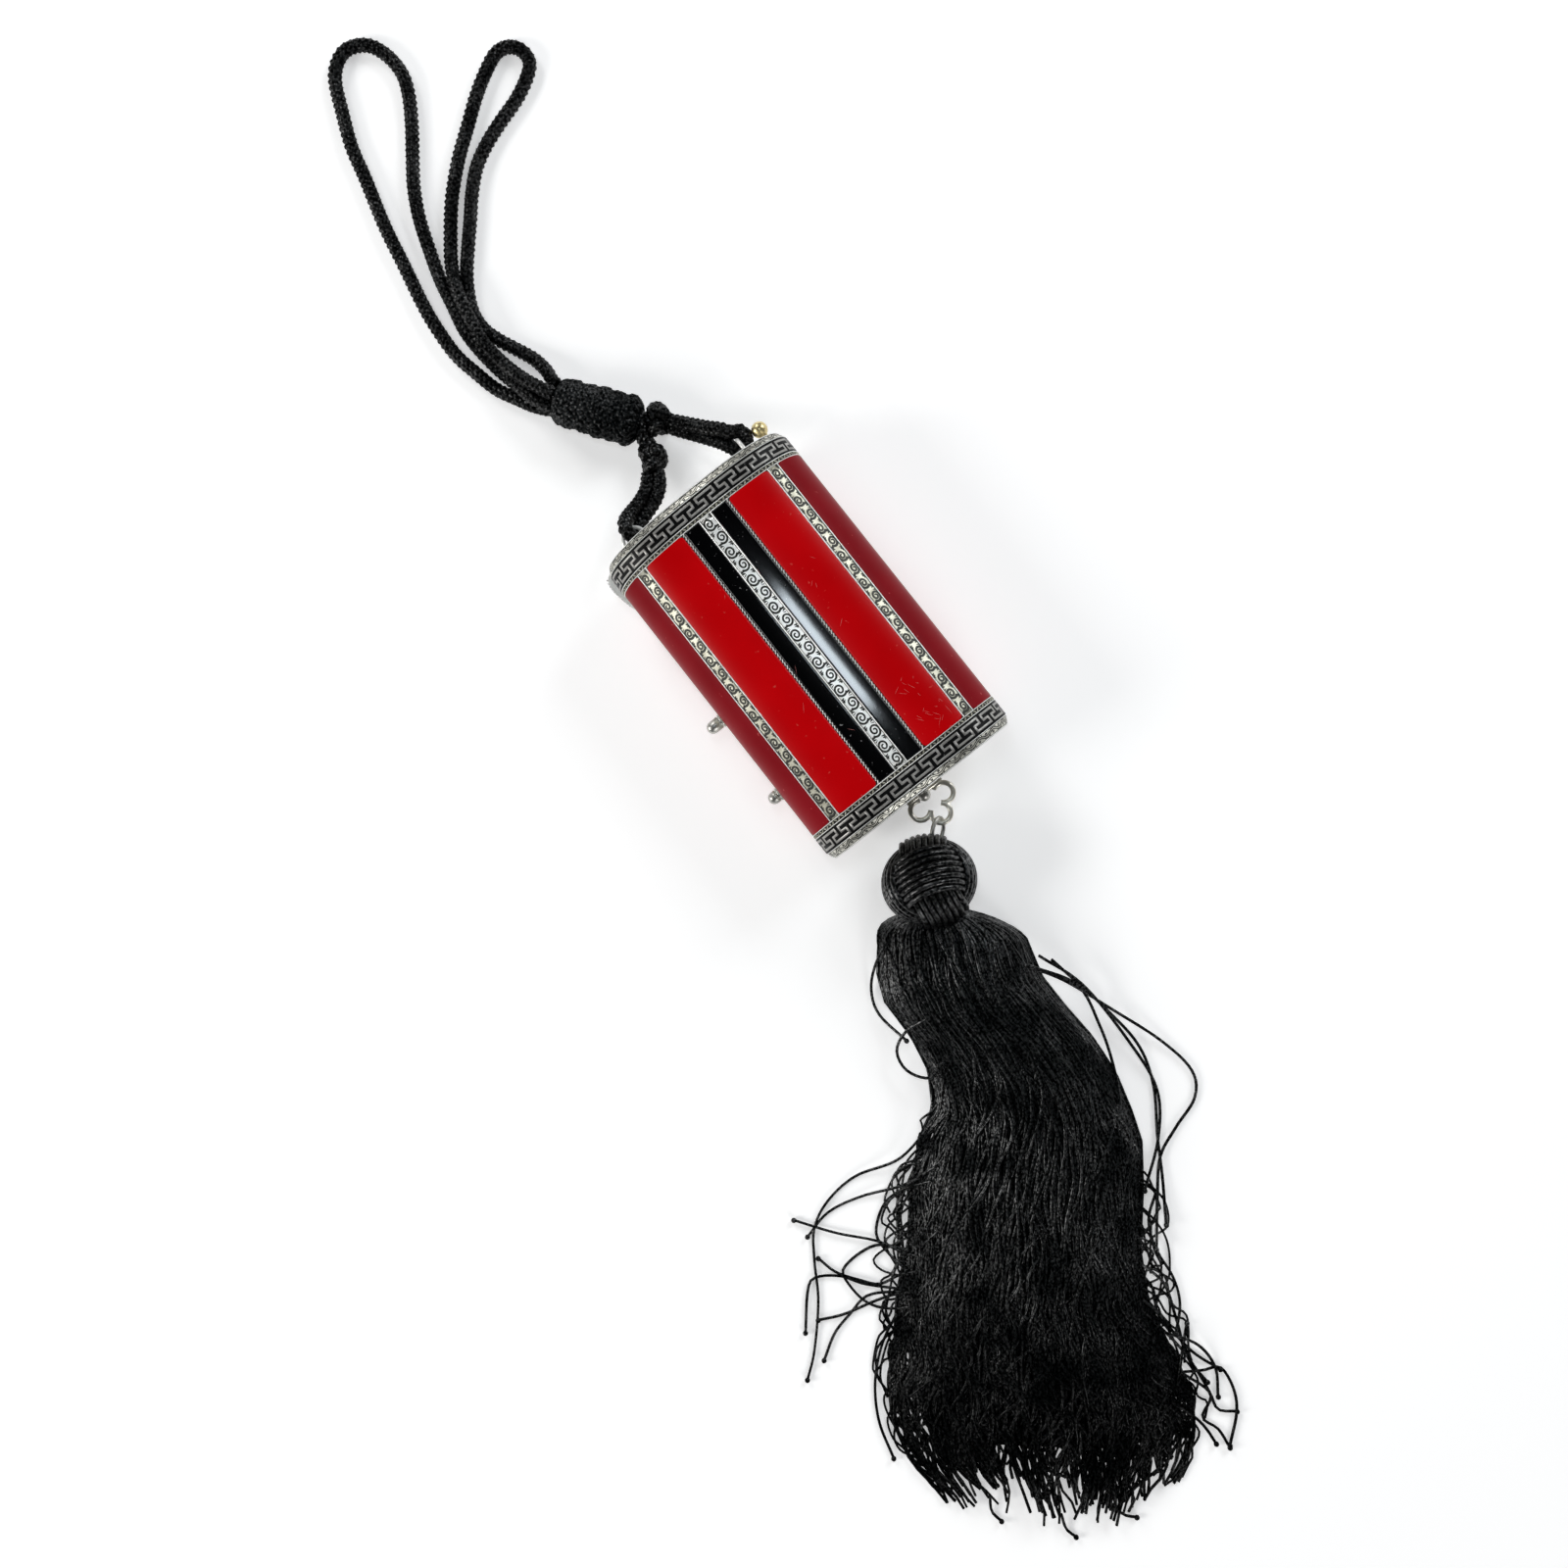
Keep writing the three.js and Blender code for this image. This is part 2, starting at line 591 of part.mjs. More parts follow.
function loft(rings) {
  const count = rings[0].length;
  const positions = rings.flat().flatMap((point) => [point.x, point.y, point.z]);
  const indices = [];
  for (let i = 0; i + 1 < rings.length; i += 1) {
    for (let j = 0; j < count; j += 1) {
      const a = i * count + j;
      const b = i * count + ((j + 1) % count);
      indices.push(a, b, a + count, b, b + count, a + count);
    }
  }
  const last = (rings.length - 1) * count;
  for (let j = 1; j + 1 < count; j += 1) {
    indices.push(0, j + 1, j, last, last + j, last + j + 1);
  }
  const geometry = new THREE.BufferGeometry();
  geometry.setAttribute('position', new THREE.Float32BufferAttribute(positions, 3));
  geometry.setIndex(indices);
  return geometry;
}

function buildSkirt() {
  const sides = 14;
  const roundness = 0.75;
  const rings = TASSEL_FORM.map(([down, offset, halfWidth, height]) => (
    Array.from({ length: sides }, (_, i) => {
      const angle = (Math.PI * i) / (sides - 1);
      const side = offset + halfWidth * Math.cos(angle);
      const place = new THREE.Vector2(BALL_X, BALL_Y)
        .addScaledVector(TASSEL_DOWN, down * TASSEL_LENGTH)
        .addScaledVector(TASSEL_ACROSS, side * TASSEL_LENGTH);
      const rise = Math.max(Math.sin(angle), 0) ** roundness;
      return new THREE.Vector3(place.x, place.y, height * TASSEL_LENGTH * rise);
    })
  ));
  const around = new THREE.SphereGeometry(BALL_RADIUS + SKIRT_GAP, 20, 12);
  around.rotateX(Math.PI / 2);
  around.translate(BALL_CENTRE.x, BALL_CENTRE.y, BALL_CENTRE.z);
  addPiece('tassel_skirt', toGeometry(toSolid(loft(rings)).subtract(toSolid(around))), 'silk');
}

// Silk cord: routes chosen by hand, in millimetres from the cord end of the case

const WRIST_LOOP_LEFT = [
  [-11.9, 40, 2.8], [-13.3, 41.7, 2.1], [-15.2, 44.5, 1.5], [-16.8, 47.6, 1.4], [-19.3, 52.7, 1.4],
  [-20.7, 58.7, 1.4], [-21.8, 65.2, 1.4], [-21.4, 73.5, 1.4], [-20.4, 80.1, 1.4], [-18.4, 89.3, 1.4],
  [-16.4, 98.9, 1.4], [-13.1, 110.6, 1.4], [-11, 118.6, 1.4], [-7.6, 126.7, 1.4], [-4.7, 132.9, 1.4],
  [-1.9, 135.9, 1.4], [1.5, 137.1, 1.4], [5, 135.9, 1.4], [7.4, 133.2, 1.4], [8.7, 128.6, 1.4],
  [8.5, 123.7, 1.4], [6.4, 118.7, 1.4], [2.7, 113, 1.4], [-1.4, 107.5, 1.4], [-5.4, 102, 1.4],
  [-8.8, 95.7, 1.4], [-11.4, 88.8, 1.4], [-13.9, 81.1, 1.4], [-15.3, 74.7, 1.4], [-16.7, 68.2, 1.4],
  [-16.8, 62.5, 1.4], [-16.2, 56.4, 1.7], [-15.2, 51.1, 2.9], [-14, 45.2, 5.1], [-12.9, 42, 5.5],
  [-11.5, 40.1, 5.6],
];

const WRIST_LOOP_RIGHT = [
  [-9.5, 41.3, 8.1], [-10.5, 43, 8.2], [-12.1, 46.7, 7.3], [-13.5, 51.4, 5.8], [-14.5, 56.7, 4.7],
  [-14.9, 62.2, 4.1], [-14.3, 66.9, 4.2], [-13.3, 71.9, 4.2], [-11.7, 76.9, 3.7], [-9.4, 82, 2.3],
  [-6.5, 86.4, 1.4], [-2.8, 91, 1.4], [0.9, 95, 1.4], [6.7, 100.1, 1.4], [12.7, 104.4, 1.4],
  [18.6, 108.6, 1.4], [23.6, 111.5, 1.4], [28.3, 113.4, 1.4], [31.6, 112.6, 1.4], [33.4, 109.9, 1.4],
  [33, 106.6, 1.4], [29.9, 104.1, 1.4], [25.3, 102, 1.4], [19.5, 100.4, 1.4], [13.6, 98.4, 1.4],
  [8.5, 95.7, 1.4], [4, 91.7, 1.4], [0.4, 87.7, 1.4], [-3.6, 83.4, 1.4], [-7.8, 78.7, 1.4],
  [-10.6, 74.6, 1.4], [-12.6, 70.1, 1.4], [-13, 65.6, 1.4], [-11.8, 61.2, 1.4], [-9.9, 56.8, 1.4],
  [-8.2, 52.4, 2], [-7.6, 48.2, 3.3], [-7.9, 45.2, 4.2],
  [-7.7, 43.3, 4.7],
];

const STRAP_LEFT = [
  [-3.9, 14.6, 3.4], [-6.6, 12.3, 4.7], [-9.6, 10.6, 7], [-12.2, 9.4, 9.6], [-14.2, 7.8, 12.2],
  [-15.2, 5.7, 13.4], [-15.3, 4.1, 12.8], [-15.2, 3.6, 11.2], [-14.9, 4, 9.7], [-13.6, 5, 8.6],
  [-11.5, 5.6, 7.6], [-8.9, 6.4, 6.5], [-6.2, 7.4, 5.6], [-3.9, 9.4, 4.5], [-2.6, 13, 3.5],
];

const STRAP_RIGHT = [
  [7.5, 20, 5.1], [10.1, 16.4, 7.1], [12.9, 12.4, 9.2], [14.8, 9.9, 10.9], [16, 7.9, 11.5],
  [17.5, 7.2, 11.5], [18.1, 5.7, 11.4], [17.5, 4.2, 11.3], [16, 3.6, 11.2], [14.3, 4.4, 10.4],
  [13.1, 7.2, 8.6], [11.4, 10.8, 6.4], [9.2, 14.9, 4.2], [7.2, 18.3, 2.6],
];

function cordGeometry(points, steps) {
  const route = new THREE.CatmullRomCurve3(points.map(([x, y, z]) => new THREE.Vector3(x, y, z)));
  const section = Array.from({ length: CORD_SIDES }, (_, i) => {
    const angle = (2 * Math.PI * i) / CORD_SIDES;
    return new THREE.Vector2(Math.cos(angle), Math.sin(angle)).multiplyScalar(CORD_DIAMETER / 2);
  });
  return new THREE.ExtrudeGeometry(new THREE.Shape(section), { steps, extrudePath: route });
}

function buildCord() {
  addPiece('wrist_loop_left', cordGeometry(WRIST_LOOP_LEFT, LOOP_STEPS), 'silk', cordGroup);
  addPiece('wrist_loop_right', cordGeometry(WRIST_LOOP_RIGHT, LOOP_STEPS), 'silk', cordGroup);
  addPiece('strap_left', cordGeometry(STRAP_LEFT, STRAP_STEPS), 'silk', cordGroup);
  addPiece('strap_right', cordGeometry(STRAP_RIGHT, STRAP_STEPS), 'silk', cordGroup);
}

// The slide knot is a barrel with rounded ends, its profile in shares of its radius
function buildSlideKnot() {
  const radius = SLIDE_KNOT_WIDTH / 2;
  const round = radius * 0.45;
  const half = SLIDE_KNOT_LENGTH / 2;
  const corner = [0, Math.PI / 6, Math.PI / 3, Math.PI / 2].map((angle) => new THREE.Vector2(
    radius - round + round * Math.sin(angle), -half + round - round * Math.cos(angle),
  ));
  const profile = [new THREE.Vector2(0, -half), ...corner];
  const mirrored = profile.map((point) => new THREE.Vector2(point.x, -point.y)).reverse();
  const barrel = new THREE.LatheGeometry([...profile, ...mirrored], 16);
  barrel.scale(1, 1, SLIDE_KNOT_HEIGHT / SLIDE_KNOT_WIDTH);
  const knot = addPiece('slide_knot', barrel, 'silk', cordGroup);
  knot.rotation.z = SLIDE_KNOT_TURN;
  knot.position.copy(SLIDE_KNOT_MIDDLE);
}

const SMALL_KNOTS = [
  {
    name: 'small_knot_left',
    at: [-0.9, 17, 3],
    half: [3.7, 2.85, 2.95],
    turn: 1.03,
    neck: { from: [-0.3, 18, 3.4], to: [0.6, 22.1, 4.4] },
  },
  {
    name: 'small_knot_right',
    at: [5.2, 22, 3.45],
    half: [3.7, 2.7, 3.4],
    turn: 0.7,
    neck: { from: [4.9, 22.4, 3.6], to: [3.2, 25, 4.2] },
  },
];

function rodSolid(from, to, radius) {
  const start = new THREE.Vector3(...from);
  const direction = new THREE.Vector3(...to).sub(start);
  const rod = new THREE.CylinderGeometry(radius, radius, direction.length(), CORD_SIDES);
  rod.translate(0, direction.length() / 2, 0);
  const up = new THREE.Vector3(0, 1, 0);
  rod.applyQuaternion(new THREE.Quaternion().setFromUnitVectors(up, direction.normalize()));
  rod.translate(start.x, start.y, start.z);
  return toSolid(rod);
}

function buildSmallKnots() {
  for (const { name, at, half, turn, neck } of SMALL_KNOTS) {
    const geometry = new THREE.SphereGeometry(1, 12, 7);
    geometry.rotateX(Math.PI / 2);
    geometry.scale(...half);
    geometry.rotateZ(turn);
    geometry.translate(...at);
    const solid = toSolid(geometry).add(rodSolid(neck.from, neck.to, CORD_DIAMETER / 2));
    addPiece(name, toGeometry(solid), 'silk', cordGroup);
  }
}

buildCase();
buildButtons();
buildKnob();
buildCordRings();
buildHanger();
buildTasselRing();
buildBall();
buildSkirt();
buildCord();
buildSlideKnot();
buildSmallKnots();

export default vanityCase;
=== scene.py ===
"""Dresses an enamelled silver vanity case with its silk wrist cord and tassel.

Shapes are worked out in millimetres in the part's frame and scaled to metres when a mesh is made.
"""
import math

import bpy
import numpy as np
from mathutils import Matrix


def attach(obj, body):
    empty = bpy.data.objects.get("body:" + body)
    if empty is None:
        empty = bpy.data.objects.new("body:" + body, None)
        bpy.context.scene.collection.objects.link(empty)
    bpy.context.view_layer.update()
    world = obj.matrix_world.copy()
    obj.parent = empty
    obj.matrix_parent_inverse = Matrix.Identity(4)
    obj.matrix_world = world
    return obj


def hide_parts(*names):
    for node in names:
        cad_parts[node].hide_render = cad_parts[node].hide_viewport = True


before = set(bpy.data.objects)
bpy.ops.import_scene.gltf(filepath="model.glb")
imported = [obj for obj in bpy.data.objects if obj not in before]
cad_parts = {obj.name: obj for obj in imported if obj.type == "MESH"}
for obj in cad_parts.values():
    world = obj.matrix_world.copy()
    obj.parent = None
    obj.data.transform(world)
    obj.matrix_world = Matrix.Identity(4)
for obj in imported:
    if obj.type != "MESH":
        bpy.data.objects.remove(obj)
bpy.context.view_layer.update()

MM = 0.001

# Camera, in millimetres and directions of the part's frame
CAMERA_AT = (-0.07, -36.28, 336.82)
CAMERA_RIGHT = (0.7829, -0.6163, -0.0848)
CAMERA_UP = (0.6183, 0.7859, -0.0039)
CAMERA_BACK = (0.0691, -0.0493, 0.9964)
CAMERA_LENS = 34.11
SENSOR_WIDTH = 36.0
PICTURE_WIDTH = 1600
FOCAL = PICTURE_WIDTH * CAMERA_LENS / SENSOR_WIDTH

# Case, as in the CAD
CASE_END = 40.0
CASE_HALF_WIDTH = 24.5
CASE_DEPTH = 14.6
PARTING_HEIGHT = 14.25
SECTION_POWER = 2.5
BEVEL_START = 38.1
BEVEL_INSET = 1.0
WALL = 1.1
INNER_END = 38.7
PARTING_GAP = 0.1

# How the front is divided, from the centre line outwards along the skin
CENTRE_BAND = 1.65
BLACK_EDGE = 5.5
RED_START = 6.2
RED_EDGE = 16.7
SIDE_START = 19.65
BUTTON_ROOM = 3.5
PANEL_END = 33.1
KEY_LOW = 34.2
KEY_HIGH = 38.0
RECESS = 0.14

# Steps of the meshes on the skin, and where the rows of a panel change them
PANEL_EDGE = 0.18
PANEL_STEP = 0.35
SHORT_PANEL = 3.4
SHORT_STEP = 0.2
CORNER_STEP = 0.15
PAST_CORNER = 1.6
LONG_STEP = 6.0
BORDER_STEP = 8.0
SHELL_STEP = 0.45
SKIN_POINTS = 6001

# Engraving: heights of the ground and of the cut lines, and the order of its materials
GROUND = -0.05
CUT_RISE = 0.012
BORDER_RISE = RECESS + 0.01
ROPE_RISE = RECESS + 0.02
ROPE_WIDTH = 0.46
ROPE_PITCH = 0.8
BEAD_WIDTH = 0.72
BEAD_PITCH = 0.95
# SIDE is the slot of the darker silver, painted shade on the case's curved sides.
BRIGHT, CUT, SIDE, RIM = range(4)
SIDE_WEIGHT = 1.75
CENTRE_WEIGHT = 1.4
SCROLL_PITCH = 3.75
SCROLL_HOOK = {"size": 0.98, "start": -2.5, "turn": 11.0, "shrink": 0.86, "steps": 60}
SCROLL_LEAF = {"size": 1.42, "start": -1.2, "turn": 2.6, "shrink": 0.12, "steps": 20}
SCROLL_STEM = {"size": 1.3, "start": 2.4, "turn": 1.7, "shrink": -0.35, "steps": 20}
BEVEL_PITCH = 2.2
BEVEL_HOOK = {"size": 0.42, "start": -2.3, "turn": 5.6, "shrink": 0.8, "steps": 22}

SCRATCHES = 34

# Key pattern
KEY_REPEAT = 5.56
KEY_STROKE = 0.54
KEY_RISE = 1.22
KEY_SHARE = 0.275
KEY_LIFT = 0.03
KEY_SINK = -0.02
KEY_SOFT = 0.06

# Fittings, as in the CAD
BUTTON_HEIGHT = 12.5
BUTTON_RADIUS = 1.47
BUTTON_DOME = 1.45
BUTTON_STEM = [(0, -1.0), (0.8, -1.0), (0.8, 0.05), (1.5, 0.05), (1.6, 0.12), (1.6, 0.4), (1.5, 0.5),
               (1.3, 0.55), (1.3, 0.7)]
RING_HEIGHT = 11.25
RING_Y = 43.1
RING_RADIUS = 2.6
RING_WIRE = 0.45
RING_FOOT = [(0, 0.05), (1.1, 0.05), (1.1, 0.3), (0.9, 0.48), (0.55, 0.75), (0, 0.8)]
LIP_OUTLINE = np.array([(-23.9, 29.9), (-24.5, 29.9), (-24.9, 31.2), (-25.4, 33.5), (-25.75, 35.6),
                        (-25.75, 37.6), (-25.2, 39.2), (-24.2, 39.85), (-23.9, 39.9)])
LIP_LEVELS = [(0.9, 11.75), (0.97, 11.85), (1.0, 12.05), (1.0, 13.9), (0.97, 14.1), (0.9, 14.18)]
KNOB_AT = (21.3, CASE_END, 11.15)
KNOB_RADIUS = 1.85
KNOB_BALL_FROM_CASE = 4.45
HANGER_HEIGHT = 9.65
HANGER_AT = np.array([0.45, -43.2])
LOBE_OFFSET = 3.15
LOBE_RADIUS = 2.2
LOBE_WIRE = 0.6
HANGER_BAR_Y = -40.5

# Cord
CORD_RADIUS = 1.5
STRAP_RADIUS = 1.55
BRAID_STEP = 0.26
LYING = 1.4
FLOOR_GAP = 0.03

# Tassel: distances down from the ball's centre, and counts
THREADS = 640
THREAD_RADIUS = 0.35
THREAD_STEPS = 62
THREAD_GROUPS = 5
TUFTS = 44
TUFT_ENDS = (122, 142)
SHORT_ENDS = (98, 122)
CORE_TOP = 7.0
CORE_END = 126
CORE_ROWS = 90
CORE_COLUMNS = 25
CORE_FLOOR = 0.15
LOOSE_STRAYS = 70
STRAY_HEIGHT = 0.5
WAVE_TURN = 6.28
SHOULDER_TOP = 6.2
SHOULDER_DROP = 6.0
BALL_CENTRE = np.array([-10.8, -56.5, 10.2])
BALL_RADIUS = 10.2
BALL_CORE = 9.0
BALL_CORD = 0.68
BALL_STRANDS = 8
BALL_PITCH = 1.32
TASSEL_DOWN = np.array([-0.62, -0.785, 0.0]) / math.hypot(0.62, 0.785)
TASSEL_ACROSS = np.array([-TASSEL_DOWN[1], TASSEL_DOWN[0], 0.0])
UP = np.array([0.0, 0.0, 1.0])


# Meshes

class Shape:
    """Gathers rings, grids and faces, then becomes one Blender mesh."""

    def __init__(self):
        self.points = []
        self.faces = []
        self.slots = []
        self.count = 0

    def add(self, points, faces, slot=0):
        points = np.asarray(points, float).reshape(-1, 3)
        self.points.append(points)
        self.faces += (np.asarray(faces) + self.count).tolist()
        self.slots += [slot] * len(faces)
        self.count += len(points)

    def piece(self, name, materials, record_slot, replaces=()):
        mesh = bpy.data.meshes.new(name)
        mesh.from_pydata((np.concatenate(self.points) * MM).tolist(), [], self.faces)
        for material in materials:
            mesh.materials.append(material)
        mesh.polygons.foreach_set("material_index", self.slots)
        mesh.polygons.foreach_set("use_smooth", [True] * len(self.faces))
        mesh.update()
        thing = bpy.data.objects.new(name, mesh)
        bpy.context.collection.objects.link(thing)
        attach(thing, "root")
        if replaces:
            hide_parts(*replaces)
        return thing


def grid_faces(rows, columns, close_rows=False, close_columns=False, flip=False):
    row = np.arange(rows if close_rows else rows - 1)
    column = np.arange(columns if close_columns else columns - 1)
    i, j = np.meshgrid(row, column, indexing="ij")
    next_i = (i + 1) % rows
    next_j = (j + 1) % columns
    corners = [i * columns + j, i * columns + next_j, next_i * columns + next_j, next_i * columns + j]
    quads = np.stack(corners, -1).reshape(-1, 4)
    return quads[:, ::-1] if flip else quads


def around(steps):
    return np.linspace(0, 2 * math.pi, steps, endpoint=False)


def ring_of(angle, right, up):
    return np.cos(angle)[:, None] * right + np.sin(angle)[:, None] * up


def arc_profile(radius, height, start, steps):
    """Lathe points on a circle that ends on the axis, above its middle at this height."""
    angle = np.linspace(start, math.pi / 2, steps)
    return np.stack([radius * np.cos(angle), height + radius * np.sin(angle)], -1)


def per_point(value, line):
    """One value for each point of a line."""
    return np.broadcast_to(np.asarray(value, float), (len(line),))


def unit(vectors):
    return vectors / np.maximum(np.linalg.norm(vectors, axis=-1, keepdims=True), 1e-9)


def tangents_of(points, closed=False):
    if closed:
        return unit(np.roll(points, -1, 0) - np.roll(points, 1, 0))
    return unit(np.gradient(points, axis=0))


def carried_normals(points, tangents, first=None):
    """Normals that turn no more than the line does."""
    first = np.array([0.3, 0.2, 0.93]) if first is None else np.asarray(first, float)
    normals = np.empty_like(points)
    normal = first
    for i, tangent in enumerate(tangents):
        normal = normal - tangent * normal.dot(tangent)
        normal = normal / max(np.linalg.norm(normal), 1e-9)
        normals[i] = normal
    return normals


def add_tube(shape, points, radius, sides=8, closed=False, first=None, flat=1.0, slot=0):
    """A tube along a line; flat squashes it across the first normal's direction."""
    points = np.asarray(points, float)
    tangents = tangents_of(points, closed)
    normals = carried_normals(points, tangents, first)
    sideways = np.cross(tangents, normals)
    angle = around(sides)
    radius = per_point(radius, points)
    ring = (normals[:, None, :] * (np.cos(angle) * flat)[None, :, None]
            + sideways[:, None, :] * np.sin(angle)[None, :, None])
    cloud = points[:, None, :] + ring * radius[:, None, None]
    shape.add(cloud, grid_faces(len(points), sides, closed, True), slot)


def distances_along(points):
    return np.concatenate([[0], np.cumsum(np.linalg.norm(np.diff(points, axis=0), axis=1))])


def spline(points, step):
    """A smooth line through the points, at an even step."""
    points = np.asarray(points, float)
    ends = np.vstack([2 * points[0] - points[1], points, 2 * points[-1] - points[-2]])
    pieces = []
    share = np.linspace(0, 1, 24, endpoint=False)[:, None]
    for i in range(1, len(ends) - 2):
        before, start, end, after = ends[i - 1:i + 3]
        slope_in = (end - before) / 2
        slope_out = (after - start) / 2
        cube = share ** 3
        square = share ** 2
        pieces.append((2 * cube - 3 * square + 1) * start + (cube - 2 * square + share) * slope_in
                      + (3 * square - 2 * cube) * end + (cube - square) * slope_out)
    pieces.append(points[-1:])
    dense = np.vstack(pieces)
    along = distances_along(dense)
    places = np.linspace(0, along[-1], max(3, int(round(along[-1] / step)) + 1))
    return np.stack([np.interp(places, along, dense[:, k]) for k in range(3)], -1)


def add_lathe(shape, profile, origin, axis, steps=40, slot=0):
    """Turns (radius, height) points round an axis."""
    axis = unit(np.asarray(axis, float))
    side = unit(np.cross(axis, [0.31, 0.2, 0.93]))
    other = np.cross(axis, side)
    profile = np.asarray(profile, float)
    ring = ring_of(around(steps), side, other)
    cloud = (np.asarray(origin, float) + axis[None, None, :] * profile[:, 1][:, None, None]
             + ring[None, :, :] * profile[:, 0][:, None, None])
    shape.add(cloud, grid_faces(len(profile), steps, False, True), slot)


# The case's skin

class Skin:
    """The front or the back of the case, unrolled: distance from the centre line, and Y."""

    def __init__(self, side):
        self.side = side
        angle = np.linspace(math.pi, 0, SKIN_POINTS)
        cos = np.cos(angle)
        self.x = CASE_HALF_WIDTH * np.sign(cos) * np.abs(cos) ** (2 / SECTION_POWER)
        rise = CASE_DEPTH * np.abs(np.sin(angle)) ** (2 / SECTION_POWER)
        self.z = np.maximum(PARTING_HEIGHT + side * rise, 0)
        arc = np.concatenate([[0], np.cumsum(np.hypot(np.diff(self.x), np.diff(self.z)))])
        self.half = arc[-1] / 2
        self.arc = arc - self.half
        slope_x = np.gradient(self.x, self.arc)
        slope_z = np.gradient(self.z, self.arc)
        self.normal_x = -slope_z * side
        self.normal_z = slope_x * side

    def at(self, arc, y, lift):
        arc, y, lift = np.broadcast_arrays(np.asarray(arc, float), y, lift)
        inset = np.clip((np.abs(y) - BEVEL_START) / (CASE_END - BEVEL_START), 0, 1) * BEVEL_INSET
        out = lift - inset
        x = np.interp(arc, self.arc, self.x) + out * np.interp(arc, self.arc, self.normal_x)
        z = np.interp(arc, self.arc, self.z) + out * np.interp(arc, self.arc, self.normal_z)
        return np.stack([x, y, z], -1)

    def strip(self, shape, line, width, height, base=-RECESS, slot=0, square=False):
        """A raised ribbon along a line of (arc, y) points."""
        line = np.asarray(line, float)
        along = unit(np.gradient(line, axis=0))
        sideways = np.stack([-along[:, 1], along[:, 0]], -1)
        width = per_point(width, line)
        across = np.array([-1, -0.85, 0.85, 1] if square else [-1, -0.6, 0, 0.6, 1])
        rise = np.array([0, 1, 1, 0] if square else [0, 0.72, 1, 0.72, 0])
        place = line[:, None, :] + sideways[:, None, :] * across[None, :, None] * width[:, None, None] / 2
        lift = base + rise[None, :] * per_point(height, line)[:, None]
        cloud = self.at(place[..., 0], place[..., 1], lift)
        shape.add(cloud, grid_faces(len(line), len(across), flip=self.side > 0), slot)


FRONT = Skin(1)
BACK = Skin(-1)
SIDE_EDGE = FRONT.half - BUTTON_ROOM


def even(start, end, step):
    return np.linspace(start, end, max(2, int(math.ceil(abs(end - start) / step)) + 1))


def rounded_row(low, high, near, edge):
    steps = np.array([0, 0.4, 1]) * edge
    return np.concatenate([low + steps, near, high - steps[::-1]])


def panel_rows(low, high, corner):
    """Rows along a panel, close together round its corners."""
    edge = PANEL_EDGE
    if high - low <= SHORT_PANEL:
        return rounded_row(low, high, even(low + 2 * edge, high - 2 * edge, SHORT_STEP), edge)
    beside = corner + 0.2
    near = np.concatenate([even(low + 2 * edge, low + beside, CORNER_STEP),
                           even(low + PAST_CORNER, high - PAST_CORNER, LONG_STEP),
                           even(high - beside, high - 2 * edge, CORNER_STEP)])
    return rounded_row(low, high, near, edge)


def add_panel(shape, skin, start, end, low, high, corner, top=0.0, slot=0):
    """A raised panel with round corners and a soft edge."""
    edge = PANEL_EDGE
    arcs = rounded_row(start, end, even(start + 2 * edge, end - 2 * edge, PANEL_STEP), edge)
    rows = panel_rows(low, high, corner)
    from_side = np.minimum(arcs - start, end - arcs)
    round_off = corner - np.sqrt(np.maximum(corner ** 2 - (corner - from_side) ** 2, 0))
    shorter = np.where(from_side < corner, round_off, 0)
    middle = (low + high) / 2
    half = (high - low) / 2
    y = middle + (rows[:, None] - middle) * ((half - shorter) / half)[None, :]
    depth_row = np.minimum(rows - low, high - rows)
    soft = np.minimum(np.minimum(depth_row[:, None], from_side[None, :]) / edge, 1)
    lift = -RECESS + (top + RECESS) * np.sqrt(1 - (1 - soft) ** 2)
    cloud = skin.at(np.broadcast_to(arcs[None, :], y.shape), y, lift)
    shape.add(cloud, grid_faces(len(rows), len(arcs), flip=skin.side < 0), slot)


# Materials

def new_material(name):
    material = bpy.data.materials.new(name)
    material.use_nodes = True
    nodes = material.node_tree.nodes
    return material, nodes, material.node_tree.links, nodes["Principled BSDF"]


def noise_of(nodes, links, scale, detail=4.0):
    coordinates = nodes.new("ShaderNodeTexCoord")
    noise = nodes.new("ShaderNodeTexNoise")
    noise.inputs["Scale"].default_value = scale
    noise.inputs["Detail"].default_value = detail
    links.new(coordinates.outputs["Object"], noise.inputs["Vector"])
    return noise


def ramp_of(nodes, links, source, stops):
    ramp = nodes.new("ShaderNodeValToRGB")
    elements = ramp.color_ramp.elements
    for element, (position, color) in zip(elements, (stops[0], stops[-1])):
        element.position = position
        element.color = (*color, 1)
    for position, color in stops[1:-1]:
        elements.new(position).color = (*color, 1)
    links.new(source, ramp.inputs["Fac"])
    return ramp.outputs["Color"]


def add_bump(nodes, links, shader, source, strength, distance):
    bump = nodes.new("ShaderNodeBump")
    bump.inputs["Strength"].default_value = strength
    bump.inputs["Distance"].default_value = distance
    links.new(source, bump.inputs["Height"])
    links.new(bump.outputs["Normal"], shader.inputs["Normal"])


def metal(name, dark, light, roughness, scale=900.0, bump=0.15, metallic=1.0):
    material, nodes, links, shader = new_material(name)
    shader.inputs["Metallic"].default_value = metallic
    shader.inputs["Roughness"].default_value = roughness
    noise = noise_of(nodes, links, scale)
    color = ramp_of(nodes, links, noise.outputs["Fac"], [(0.3, dark), (0.7, light)])
    links.new(color, shader.inputs["Base Color"])
    add_bump(nodes, links, shader, noise.outputs["Fac"], bump, 0.0001)
    return material


